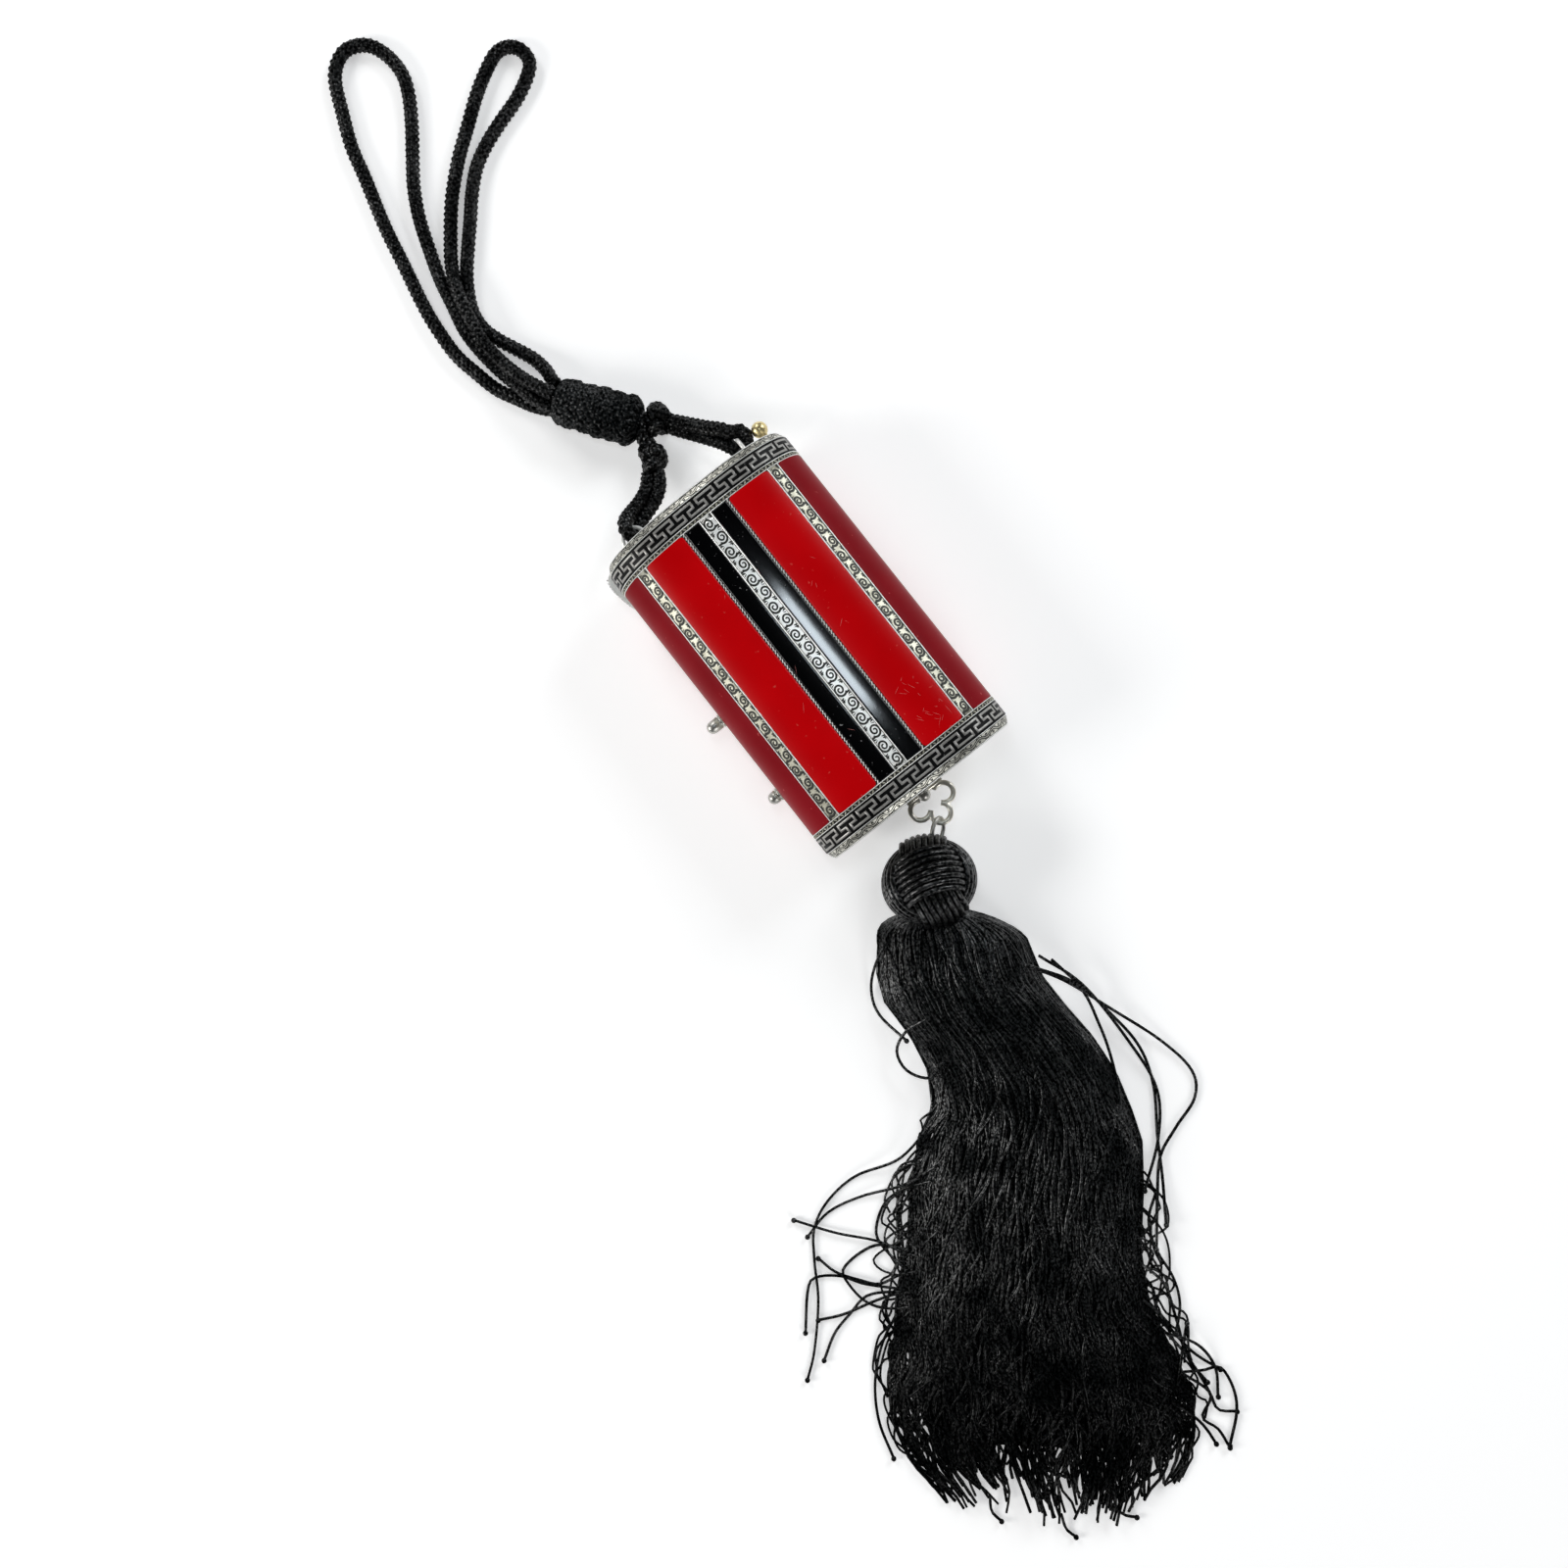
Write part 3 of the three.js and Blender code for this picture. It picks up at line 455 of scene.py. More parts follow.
def enamel(name, deep, light, roughness, shine, speck, speck_scale):
    material, nodes, links, shader = new_material(name)
    shader.inputs["Roughness"].default_value = roughness
    shader.inputs["Specular IOR Level"].default_value = shine
    cloud = noise_of(nodes, links, 60.0, 2.0)
    color = ramp_of(nodes, links, cloud.outputs["Fac"], [(0.35, deep), (0.65, light)])
    dots = noise_of(nodes, links, speck_scale, 2.0)
    mask = ramp_of(nodes, links, dots.outputs["Fac"], [(0.71, (0, 0, 0)), (0.76, (1, 1, 1))])
    mix = nodes.new("ShaderNodeMix")
    mix.data_type = "RGBA"
    mix.inputs["B"].default_value = (*speck, 1)
    links.new(mask, mix.inputs["Factor"])
    links.new(color, mix.inputs["A"])
    links.new(mix.outputs["Result"], shader.inputs["Base Color"])
    wave = noise_of(nodes, links, 90.0, 3.0)
    add_bump(nodes, links, shader, wave.outputs["Fac"], 0.05, 0.0003)
    return material


def scaled(nodes, links, source, given, wanted):
    """Takes a value from one range to another and holds it at the ends."""
    node = nodes.new("ShaderNodeMapRange")
    node.inputs["From Min"].default_value = given[0]
    node.inputs["From Max"].default_value = given[1]
    node.inputs["To Min"].default_value = wanted[0]
    node.inputs["To Max"].default_value = wanted[1]
    links.new(source, node.inputs["Value"])
    return node.outputs["Result"]


def product_of(nodes, links, first, second):
    node = nodes.new("ShaderNodeMath")
    node.operation = "MULTIPLY"
    links.new(first, node.inputs[0])
    links.new(second, node.inputs[1])
    return node.outputs["Value"]


def silk(name, dark, light, roughness, shine, scale=1500.0, shade_span=None):
    """Black silk; shine is its specular level in the dull and in the glossy patches.

    shade_span is the stretch, in metres down the tassel, over which its colour and gloss darken: painted
    shade toward the fringe.
    """
    material, nodes, links, shader = new_material(name)
    shader.inputs["Roughness"].default_value = roughness
    patches = noise_of(nodes, links, 110.0, 2.0)
    twist = noise_of(nodes, links, scale, 2.0)
    sheen = scaled(nodes, links, patches.outputs["Fac"], (0.38, 0.62), shine)
    strand = scaled(nodes, links, twist.outputs["Fac"], (0.44, 0.58), (0.15, 1.6))
    gloss = product_of(nodes, links, sheen, strand)
    # The twist pattern's lighter colour is painted dotted highlights along the twisted strands, brightest
    # in silk_thread.
    color = ramp_of(nodes, links, twist.outputs["Fac"], [(0.42, dark), (0.64, light)])
    # Painted shade: colour and gloss darken further down the tassel.
    if shade_span:
        coordinates = nodes.new("ShaderNodeTexCoord")
        along = nodes.new("ShaderNodeVectorMath")
        along.operation = "DOT_PRODUCT"
        along.inputs[1].default_value = TASSEL_DOWN.tolist()
        links.new(coordinates.outputs["Object"], along.inputs[0])
        unshaded = scaled(nodes, links, along.outputs["Value"], shade_span, (1.0, 0.25))
        gloss = product_of(nodes, links, gloss, unshaded)
        mix = nodes.new("ShaderNodeMix")
        mix.data_type = "RGBA"
        mix.inputs["A"].default_value = (*dark, 1)
        links.new(unshaded, mix.inputs["Factor"])
        links.new(color, mix.inputs["B"])
        color = mix.outputs["Result"]
    links.new(gloss, shader.inputs["Specular IOR Level"])
    links.new(color, shader.inputs["Base Color"])
    add_bump(nodes, links, shader, twist.outputs["Fac"], 0.5, 0.0002)
    return material


SILVER = metal("silver_bright", (0.82, 0.82, 0.79), (0.98, 0.98, 0.95), 0.3, metallic=0.35)
# A darker copy of the bright silver: painted shade on the side bands and side edges; the bead lines across
# the ends use it too.
SILVER_SIDE_SHADED = metal("silver_side_painted_shade", (0.26, 0.25, 0.19), (0.56, 0.55, 0.45), 0.36, 500.0, metallic=0.45)
SILVER_RIM = metal("silver_rim", (0.42, 0.41, 0.35), (0.8, 0.79, 0.71), 0.32, 500.0, metallic=0.5)
SILVER_DARK = metal("silver_recess", (0.012, 0.012, 0.01), (0.04, 0.04, 0.034), 0.5, metallic=0.5)
SILVER_KEY = metal("silver_key", (0.27, 0.26, 0.245), (0.4, 0.39, 0.37), 0.36, metallic=0.5)
SILVER_PLAIN = metal("silver_plain", (0.4, 0.39, 0.36), (0.6, 0.59, 0.55), 0.38, 150.0, 0.03)
SILVER_INSIDE = metal("silver_inside", (0.5, 0.49, 0.44), (0.62, 0.6, 0.54), 0.3, 200.0)
GOLD = metal("gold", (0.62, 0.5, 0.24), (0.8, 0.68, 0.38), 0.36, 400.0, 0.05)
PALE_GOLD = metal("pale_gold", (0.72, 0.69, 0.59), (0.9, 0.87, 0.78), 0.3, 500.0, metallic=0.7)
SCRATCH = metal("enamel_scratch", (0.5, 0.14, 0.13), (0.6, 0.24, 0.22), 0.5, metallic=0.0)
RED = enamel("red_enamel", (0.53, 0.0, 0.002), (0.61, 0.0008, 0.003), 0.25, 0.12, (0.62, 0.05, 0.04), 900.0)
# A darker copy of the red enamel for the side panels: painted shade where the case curves away from the
# light.
RED_SIDE_PAINTED_SHADE = enamel("red_enamel_side_painted_shade", (0.235, 0.004, 0.009), (0.275, 0.006, 0.012), 0.35, 0.05,
                 (0.45, 0.06, 0.06), 900.0)
BLACK = enamel("black_enamel", (0.0006, 0.0006, 0.0008), (0.0012, 0.0012, 0.0016), 0.09, 0.5,
               (0.25, 0.25, 0.25), 1400.0)
KEY_BLACK = enamel("key_enamel", (0.001, 0.001, 0.001), (0.002, 0.002, 0.002), 0.4, 0.1,
                   (0.1, 0.1, 0.1), 1400.0)
SILK = silk("silk", (0.0004, 0.0005, 0.0005), (0.003, 0.0036, 0.0038), 0.34, (0.16, 0.42))
# Dull near-black silk for the cores and the tassel's inner body: partly the inner silk, partly painted
# shade that keeps the gaps between strands black.
SILK_CORE_SHADE = silk("silk_core_painted_shade", (0.0004, 0.0004, 0.0005), (0.001, 0.001, 0.0012), 0.8, (0.02, 0.05))
SILK_TEAL = silk("silk_wrap", (0.0004, 0.0008, 0.0009), (0.004, 0.006, 0.0068), 0.36, (0.14, 0.42))
# silk_thread's light colour paints the brightest dotted highlights on the tassel threads.
SILK_THREAD = silk("silk_thread", (0.0003, 0.0004, 0.0004), (0.02, 0.022, 0.0225), 0.3, (0.04, 0.8), 1900.0,
                   (0.128, 0.168))
SILK_BALL = silk("silk_ball", (0.0004, 0.0005, 0.0005), (0.003, 0.0036, 0.0038), 0.32, (0.5, 0.75))


# Case shells

def build_shell(name, skin, node):
    shape = Shape()
    side = skin.side
    split = PARTING_HEIGHT + side * PARTING_GAP / 2
    arcs = even(-skin.half, skin.half, SHELL_STEP)
    y = np.array([-CASE_END, -BEVEL_START - 0.05, -BEVEL_START, BEVEL_START, BEVEL_START + 0.05, CASE_END])
    outer = skin.at(arcs[None, :], y[:, None], -RECESS)
    outer[..., 2] = np.maximum(outer[..., 2] * side, split * side) * side
    shape.add(outer, grid_faces(len(y), len(arcs), flip=side < 0), 0)
    inner_y = np.array([-INNER_END, INNER_END])
    inner = skin.at(arcs[None, :], 0.0, -WALL) + np.zeros((2, 1, 3))
    inner[..., 1] = inner_y[:, None]
    inner[..., 2] = np.maximum(inner[..., 2] * side, split * side) * side
    shape.add(inner, grid_faces(2, len(arcs), flip=side > 0), 1)
    loop = list(range(len(arcs)))
    for rows, way, slot in ((outer, side, 2), (inner, -side, 1)):
        shape.add(rows[0], [loop[::way]], slot)
        shape.add(rows[-1], [loop[::-way]], slot)
    corners = ([0, 0, -1, -1], [0, -1, -1, 0])
    rim = np.vstack([outer[corners], inner[corners]])
    shape.add(rim, grid_faces(2, 4, False, True, flip=side > 0), 1)
    return shape.piece(name, [SILVER_DARK, SILVER_INSIDE, SILVER_PLAIN], "silver", (node,))


def add_border(shape, skin, arcs, y, width):
    skin.strip(shape, np.stack([arcs, y], -1), width, BORDER_RISE, square=True)


def border_along(shape, skin, arc, end, width):
    y = even(-end, end, BORDER_STEP)
    add_border(shape, skin, np.full(len(y), arc), y, width)


def border_across(shape, skin, y, reach, width):
    arcs = even(-reach, reach, 0.5)
    add_border(shape, skin, arcs, np.full(len(arcs), y), width)


# Engraving

def curl(centre, room, flip, size, start, turn, shrink, steps):
    """A spiral hook in band coordinates; size is a share of the room beside it."""
    share = np.linspace(0, 1, steps)
    angle = start + turn * share
    reach = room * size * (1 - shrink * share)
    return np.stack([centre[0] + flip * reach * np.cos(angle), centre[1] + reach * np.sin(angle)], -1)


def cut_line(shape, skin, line, width):
    skin.strip(shape, line, width, CUT_RISE, GROUND, CUT)


def add_scroll_band(shape, skin, middle, half_width, ground):
    """A running scroll cut in dark lines on a bright ground, along Y."""
    low, high = -PANEL_END, PANEL_END
    room = half_width - 0.36
    heavy = SIDE_WEIGHT if ground == SIDE else CENTRE_WEIGHT
    add_panel(shape, skin, middle - room, middle + room, low, high, 0.1, top=GROUND, slot=ground)
    count = int(round((high - low) / SCROLL_PITCH))
    pitch = (high - low) / count

    def cut(line, width):
        line = np.asarray(line, float)
        kept = (np.abs(line[:, 0] - middle) < room) & (np.abs(line[:, 1]) < high - 0.05)
        width = per_point(width, line) * heavy
        for run in np.split(np.arange(len(line)), np.where(~kept)[0]):
            run = run[kept[run]]
            if len(run) > 2:
                cut_line(shape, skin, line[run], width[run])

    for i in range(count):
        away = -1 if i % 2 else 1
        place = low + (i + 0.5) * pitch
        heart = (middle + away * room * 0.2, place)
        hook = curl(heart, room, away, **SCROLL_HOOK)
        hook[:, 1] = place + (hook[:, 1] - place) * 1.2
        cut(hook, np.linspace(0.34, 0.22, len(hook)))
        leaf = curl(heart, room, away, **SCROLL_LEAF)
        cut(leaf, 0.28 * np.sin(np.linspace(0.3, 2.9, len(leaf))))
        stem = curl(heart, room, away, **SCROLL_STEM)
        cut(stem, np.linspace(0.3, 0.14, len(stem)))
        for share in (-0.42, -0.3, 0.3, 0.42):
            root = np.array([middle - away * room * 0.97, place + share * pitch])
            tip = root + np.array([away * room * 0.5, 0.3 * math.copysign(1, share)])
            cut([root, root * 0.66 + tip * 0.34, root * 0.33 + tip * 0.67, tip], [0.36, 0.28, 0.18, 0.08])
    edge_y = even(low, high, BORDER_STEP)
    for side in (-1, 1):
        arc = np.full(len(edge_y), middle + side * (room + 0.06))
        skin.strip(shape, np.stack([arc, edge_y], -1), 0.1, CUT_RISE * 2, GROUND, CUT)


def add_scroll_across(shape, skin, y_low, y_high, reach):
    """Leafy scrolls along the bevel, across the case."""
    pitch = BEVEL_PITCH
    middle = (y_low + y_high) / 2
    room = abs(y_high - y_low) / 2
    low, high = sorted((y_low, y_high))
    add_panel(shape, skin, -reach, reach, low, high, 0.1, top=GROUND, slot=RIM)
    arcs = even(-reach + 0.2, reach - 0.2, 0.25)
    for shift in (-0.18, 0.18):
        wave = middle + shift + room * 0.5 * np.cos(math.pi * (arcs + reach) / pitch)
        cut_line(shape, skin, np.stack([arcs, wave], -1), 0.2)
    for i in range(1, int(2 * reach / pitch)):
        away = -1 if i % 2 else 1
        place = -reach + i * pitch
        hook = curl((middle, place), room, -away, **BEVEL_HOOK)[:, ::-1]
        hook[:, 1] -= away * room * 0.35
        cut_line(shape, skin, hook, np.linspace(0.3, 0.2, len(hook)))
        for share in (-0.32, 0.0, 0.32):
            leaf = [[place + (share + along) * pitch, middle + away * room * out]
                    for along, out in ((0.0, 0.85), (0.06, 0.8), (0.14, 0.7))]
            cut_line(shape, skin, leaf, [0.1, 0.3, 0.12])


def add_rope_line(shape, skin, arc):
    """A fine twisted line: slanted ridges one after the other."""
    out = ROPE_WIDTH * 0.4
    for y in np.arange(-PANEL_END, PANEL_END - ROPE_PITCH / 2, ROPE_PITCH):
        dash = [(arc - out, y), (arc, y + ROPE_PITCH * 0.45), (arc + out, y + ROPE_PITCH * 0.9)]
        skin.strip(shape, dash, 0.24, ROPE_RISE)


def add_bead_line(shape, skin, y, reach):
    """Small engraved leaves side by side, across the case."""
    out = BEAD_WIDTH * 0.42
    for i in range(int(2 * reach / BEAD_PITCH)):
        arc = -reach + (i + 0.5) * BEAD_PITCH
        lean = 0.3 if i % 2 else -0.3
        dash = [(arc - lean, y - out), (arc + 0.1, y), (arc + lean, y + out)]
        skin.strip(shape, dash, [0.12, 0.36, 0.12], RECESS, slot=SIDE)


def build_engraving(name, skin, bands, ropes, gaps):
    """gaps are the borders along the case: (arc, width), both sides."""
    shape = Shape()
    edge = skin.half - 0.25
    for sign in (-1, 1):
        for arc, width in gaps:
            border_along(shape, skin, sign * arc, PANEL_END, width)
        for arc in ropes:
            add_rope_line(shape, skin, sign * arc)
        border_along(shape, skin, sign * edge, BEVEL_START, 0.42)
        start, end = sorted((sign * (SIDE_EDGE + 0.15), sign * (edge - 0.3)))
        add_panel(shape, skin, start, end, -PANEL_END, PANEL_END, 0.1, top=GROUND, slot=SIDE)
    for middle, half_width in bands:
        # Side bands take the darker silver, painted shade; the centre band takes the bright silver.
        add_scroll_band(shape, skin, middle, half_width, SIDE if middle else BRIGHT)
    for sign in (-1, 1):
        for y, width in ((PANEL_END + 0.1, 0.16), (KEY_LOW - 0.1, 0.16), (BEVEL_START + 0.05, 0.14),
                         (CASE_END - 0.16, 0.2)):
            border_across(shape, skin, sign * y, edge, width)
        add_bead_line(shape, skin, sign * (PANEL_END + KEY_LOW) / 2, edge)
        add_scroll_across(shape, skin, sign * (BEVEL_START + 0.26), sign * (CASE_END - 0.38), edge - 0.2)
    return shape.piece(name, [SILVER, SILVER_DARK, SILVER_SIDE_SHADED, SILVER_RIM], "silver")


def build_scratches(random):
    """Hairline scratches in the red enamel and the black strips."""
    shape = Shape()
    for _ in range(SCRATCHES):
        arc = random.uniform(8.5, 15.8) if random.random() < 0.7 else random.uniform(-15, 15)
        y = random.uniform(-31, -19) if arc > 8 and random.random() < 0.8 else random.uniform(-30, 30)
        way = random.uniform(0.4, 2.6)
        size = random.uniform(0.25, 1.1)
        run = np.linspace(-size, size, 5)
        line = np.stack([arc + run * math.cos(way), y + run * math.sin(way) + 0.02 * run ** 2], -1)
        FRONT.strip(shape, line, [0.01, 0.04, 0.05, 0.04, 0.01], 0.004, 0.0)
    shape.piece("scratches", [SCRATCH], "red_enamel")


def key_line():
    """One repeat of the key, as (along, across) corners."""
    step = KEY_REPEAT
    width = KEY_SHARE * step
    half = step / 2
    return [(width - half, -KEY_RISE), (width, -KEY_RISE), (width, 0), (0, 0), (0, KEY_RISE),
            (half + width, KEY_RISE), (half + width, 0), (half, 0), (half, -KEY_RISE),
            (step + width - half, -KEY_RISE)]


def add_key_stroke(shape, skin, start, end, middle, direction):
    low_arc, high_arc = sorted((start[0], end[0]))
    low, high = sorted((start[1] * direction, end[1] * direction))
    grow = KEY_STROKE / 2
    arcs = even(low_arc - grow, high_arc + grow, 0.4)
    rows = np.array([low - grow, low - grow + KEY_SOFT, high + grow - KEY_SOFT, high + grow]) + middle
    arcs = np.concatenate([[arcs[0], arcs[0] + KEY_SOFT], arcs[1:-1], [arcs[-1] - KEY_SOFT, arcs[-1]]])
    lift = np.full((len(rows), len(arcs)), KEY_LIFT)
    lift[0, :] = lift[-1, :] = KEY_SINK
    lift[:, 0] = lift[:, -1] = KEY_SINK
    cloud = skin.at(np.broadcast_to(arcs, lift.shape), np.broadcast_to(rows[:, None], lift.shape), lift)
    shape.add(cloud, grid_faces(len(rows), len(arcs), flip=skin.side < 0))


def build_key(name, skin):
    shape = Shape()
    reach = skin.half - 1.35
    corners = key_line()
    for sign in (-1, 1):
        middle = sign * (KEY_LOW + KEY_HIGH) / 2
        first = -math.ceil(reach / KEY_REPEAT) - 1
        for i in range(first, -first + 1):
            offset = i * KEY_REPEAT + 0.6
            for start, end in zip(corners[:-1], corners[1:]):
                a = np.array([start[0] + offset, start[1]])
                b = np.array([end[0] + offset, end[1]])
                if min(a[0], b[0]) > reach or max(a[0], b[0]) < -reach:
                    continue
                a[0] = np.clip(a[0], -reach, reach)
                b[0] = np.clip(b[0], -reach, reach)
                add_key_stroke(shape, skin, a, b, middle, sign)
    return shape.piece(name, [SILVER_KEY], "silver")


def build_panels():
    for side in (-1, 1):
        label = "left" if side < 0 else "right"
        for name, skin, near, far, material, corner in (
            ("black_panel_" + label, FRONT, CENTRE_BAND, BLACK_EDGE, BLACK, 0.3),
            ("red_panel_" + label, FRONT, RED_START, RED_EDGE, RED, 0.9),
            # The side panels take the darker red, which is painted shade.
            ("side_panel_front_" + label, FRONT, SIDE_START, SIDE_EDGE, RED_SIDE_PAINTED_SHADE, 0.9),
            ("side_panel_back_" + label, BACK, SIDE_START, SIDE_EDGE, RED_SIDE_PAINTED_SHADE, 0.9),
        ):
            shape = Shape()
            start, end = sorted((side * near, side * far))
            add_panel(shape, skin, start, end, -PANEL_END, PANEL_END, corner)
            slot = "black_enamel" if material is BLACK else "red_enamel"
            shape.piece("enamel_" + name, [material], slot, (name,))
    shape = Shape()
    add_panel(shape, BACK, -RED_EDGE, RED_EDGE, -PANEL_END, PANEL_END, 0.9)
    shape.piece("enamel_red_panel_back", [RED], "red_enamel", ("red_panel_back",))
    for face, skin in (("front", FRONT), ("back", BACK)):
        for end, sign in (("cord_end", 1), ("tassel_end", -1)):
            shape = Shape()
            low, high = sorted((sign * KEY_LOW, sign * KEY_HIGH))
            edge = skin.half - 0.9
            add_panel(shape, skin, -edge, edge, low, high, 0.2)
            node = f"key_band_{face}_{end}"
            shape.piece("enamel_" + node, [KEY_BLACK], "black_enamel", (node,))


def build_lip():
    shape = Shape()
    rim = LIP_OUTLINE[1:7]
    smooth = spline(np.c_[LIP_OUTLINE, np.zeros(len(LIP_OUTLINE))], 0.3)[:, :2]
    middle = smooth.mean(0)
    cloud = np.array([[(*(middle + (p - middle) * k), z) for p in smooth] for k, z in LIP_LEVELS])
    shape.add(cloud, grid_faces(len(LIP_LEVELS), len(smooth), False, True))
    loop = list(range(len(smooth)))
    shape.add(cloud[0], [loop[::-1]])
    shape.add(cloud[-1], [loop])
    for y in np.arange(31.2, 39.2, 0.75):
        x = np.interp(y, rim[:, 1], rim[:, 0])
        add_tube(shape, [(x, y, 12.0), (x - 0.05, y + 0.15, 13), (x, y + 0.3, 14.0)], 0.2, 6)
    shape.piece("thumb_lip", [SILVER], "silver")


def build_buttons():
    for node, origin, axis, proud in (
        ("side_button_upper", (-CASE_HALF_WIDTH, -0.8, BUTTON_HEIGHT), (-1, 0, 0), 4.1),
        ("side_button_lower", (-CASE_HALF_WIDTH, -21.3, BUTTON_HEIGHT), (-1, 0, 0), 3.0),
        ("end_button", (0, -CASE_END, BUTTON_HEIGHT), (0, -1, 0), 2.4),
    ):
        shape = Shape()
        body = [(BUTTON_RADIUS, 0.78), (BUTTON_RADIUS, proud - 1.6)]
        top = arc_profile(BUTTON_DOME, proud - BUTTON_DOME, 0, 8).tolist()
        add_lathe(shape, BUTTON_STEM + body + top, origin, axis)
        shape.piece("dressed_" + node, [SILVER_PLAIN], "silver", (node,))


def build_knob():
    shape = Shape()
    ball = arc_profile(KNOB_RADIUS, KNOB_BALL_FROM_CASE, -1.08, 16)
    foot = [(0, 0.05), (1.3, 0.05), (1.3, 0.2), (1.12, 0.75), (0.92, 1.35), (0.8, 2.1)]
    add_lathe(shape, foot + ball.tolist(), KNOB_AT, (0, 1, 0))
    shape.piece("dressed_knob", [GOLD], "gold", ("gold_knob",))


def build_rings():
    forward = np.array([0, 1.0, 0])
    for node, x, other in (("cord_ring_left", -15.2, np.array([1.0, 0, 0])), ("cord_ring_right", 16.0, UP)):
        shape = Shape()
        centre = np.array([x, RING_Y, RING_HEIGHT])
        circle = centre + RING_RADIUS * ring_of(around(48), forward, other)
        add_tube(shape, circle, RING_WIRE, 12, True, first=np.cross(forward, other))
        add_lathe(shape, RING_FOOT, (x, CASE_END, RING_HEIGHT), forward, 24)
        shape.piece("dressed_" + node, [SILVER], "silver", (node,))


def build_hanger():
    shape = Shape()
    steps = 40
    for side, down, start, end in ((1, 0, -2.45, 2.2), (-1, 0, 0.95, 5.6), (0, -1, -4.05, 0.9)):
        angle = np.linspace(start, end, steps)
        centre = HANGER_AT + np.array([side, down]) * LOBE_OFFSET
        arc = np.stack([centre[0] + LOBE_RADIUS * np.cos(angle),
                        centre[1] + LOBE_RADIUS * np.sin(angle), np.full(steps, HANGER_HEIGHT)], -1)
        add_tube(shape, arc, LOBE_WIRE, 12, flat=0.72, first=UP)
    bar = [(x, HANGER_BAR_Y, HANGER_HEIGHT) for x in np.linspace(-4.3, 5.2, 12)]
    add_tube(shape, bar, np.array([0.2, 0.45] + [0.55] * 8 + [0.45, 0.2]), 10, first=UP)
    shape.piece("dressed_hanger", [PALE_GOLD], "silver", ("tassel_hanger",))


def build_tassel_ring():
    shape = Shape()
    lobe = np.array([HANGER_AT[0], HANGER_AT[1] - LOBE_OFFSET, HANGER_HEIGHT])
    away = unit(np.array([BALL_CENTRE[0] - lobe[0], BALL_CENTRE[1] - lobe[1], 0.0]))
    distance = np.linalg.norm((BALL_CENTRE - lobe)[:2])
    near = 1.1
    far = distance - BALL_RADIUS + 1.9
    angle = around(48)
    lean = UP * 0.78 + np.cross(away, UP) * 0.62
    loop = (lobe + away * (near + far) / 2 + away * ((far - near) / 2) * np.cos(angle)[:, None]
            + lean * 1.9 * np.sin(angle)[:, None])
    add_tube(shape, loop, 0.48, 10, True, first=np.cross(away, lean))
    shape.piece("dressed_tassel_ring", [SILVER_PLAIN], "silver", ("tassel_ring",))


# Woven ball: three bands of cords that cross each other

def build_ball():
    shape = Shape()
    middle = BALL_CENTRE + np.array([0, 0, 0.4])
    add_lathe(shape, arc_profile(BALL_CORE, 0, -math.pi / 2, 24), middle, UP, slot=1)
    swing = math.radians(17)
    tilt = math.radians(12)
    right = np.array(CAMERA_RIGHT)
    up = np.array(CAMERA_UP)
    along = unit(right * math.cos(swing) + up * math.sin(swing))
    beside = up * math.cos(swing) - right * math.sin(swing)
    front = unit(np.array(CAMERA_BACK) * math.cos(tilt) + beside * math.sin(tilt))
    across = np.cross(front, along)
    angle = around(110)
    for over, under, normal in ((front, along, across), (along, across, front), (across, front, along)):
        for k in range(BALL_STRANDS):
            offset = (k - (BALL_STRANDS - 1) / 2) * BALL_PITCH + 2.0 * np.cos(angle) ** 2 - 0.7
            reach = np.sqrt((9.35 + 0.55 * np.cos(2 * angle)) ** 2 - offset ** 2)
            line = middle + offset[:, None] * normal + reach[:, None] * ring_of(angle, over, under)
            line[:, 2] = np.maximum(line[:, 2], BALL_CORD + 0.07)
            add_tube(shape, line, BALL_CORD, 8, True, first=normal)
    shape.piece("woven_ball", [SILK_BALL, SILK_CORE_SHADE], "silk", ("tassel_ball",))


# Tassel skirt. Rows: down from the ball, sideways, half width, height
TASSEL_FORM = np.array([
    [6.0, 2.8, 12.2, 9.0], [9.5, 3.8, 14.4, 11.5], [13.4, 5.2, 16.3, 12.6], [21.8, 6.9, 18.0, 13.0],
    [28.2, 10.3, 19.6, 12.6], [35.8, 16.6, 20.0, 11.8], [43.4, 20.9, 20.4, 11.3], [51.7, 23.1, 21.6, 10.9],
    [58.3, 22.8, 24.0, 10.5], [68.8, 21.9, 25.2, 9.9], [82.5, 21.3, 25.3, 9.2], [93.9, 21.0, 27.4, 8.4],
    [106.3, 23.4, 30.4, 7.4], [115.5, 25.0, 32.4, 6.4], [122.8, 25.6, 32.2, 5.7], [131.1, 26.4, 29.4, 4.8],
    [141.0, 28.5, 23.0, 3.4],
])


def tassel_place(down, share, level):
    """A point in the skirt: share is -1 to 1 across it, level 0 to 1 up through it."""
    offset, half, height = (np.interp(down, TASSEL_FORM[:, 0], TASSEL_FORM[:, k]) for k in (1, 2, 3))
    crown = np.maximum(1 - np.abs(share) ** 2.2, 0) ** 0.75
    side = offset + half * share
    ground = BALL_CENTRE * np.array([1, 1, 0])
    place = ground + np.multiply.outer(down, TASSEL_DOWN) + np.multiply.outer(side, TASSEL_ACROSS)
    place[..., 2] = np.maximum(height * crown * level, THREAD_RADIUS)
    return place


def shoulder(down, top):
    """How far a thread has spread, from 0 at its root to 1 where it hangs free."""
    return np.sqrt(1 - np.clip(1 - (down - top) / SHOULDER_DROP, 0, 1) ** 2)


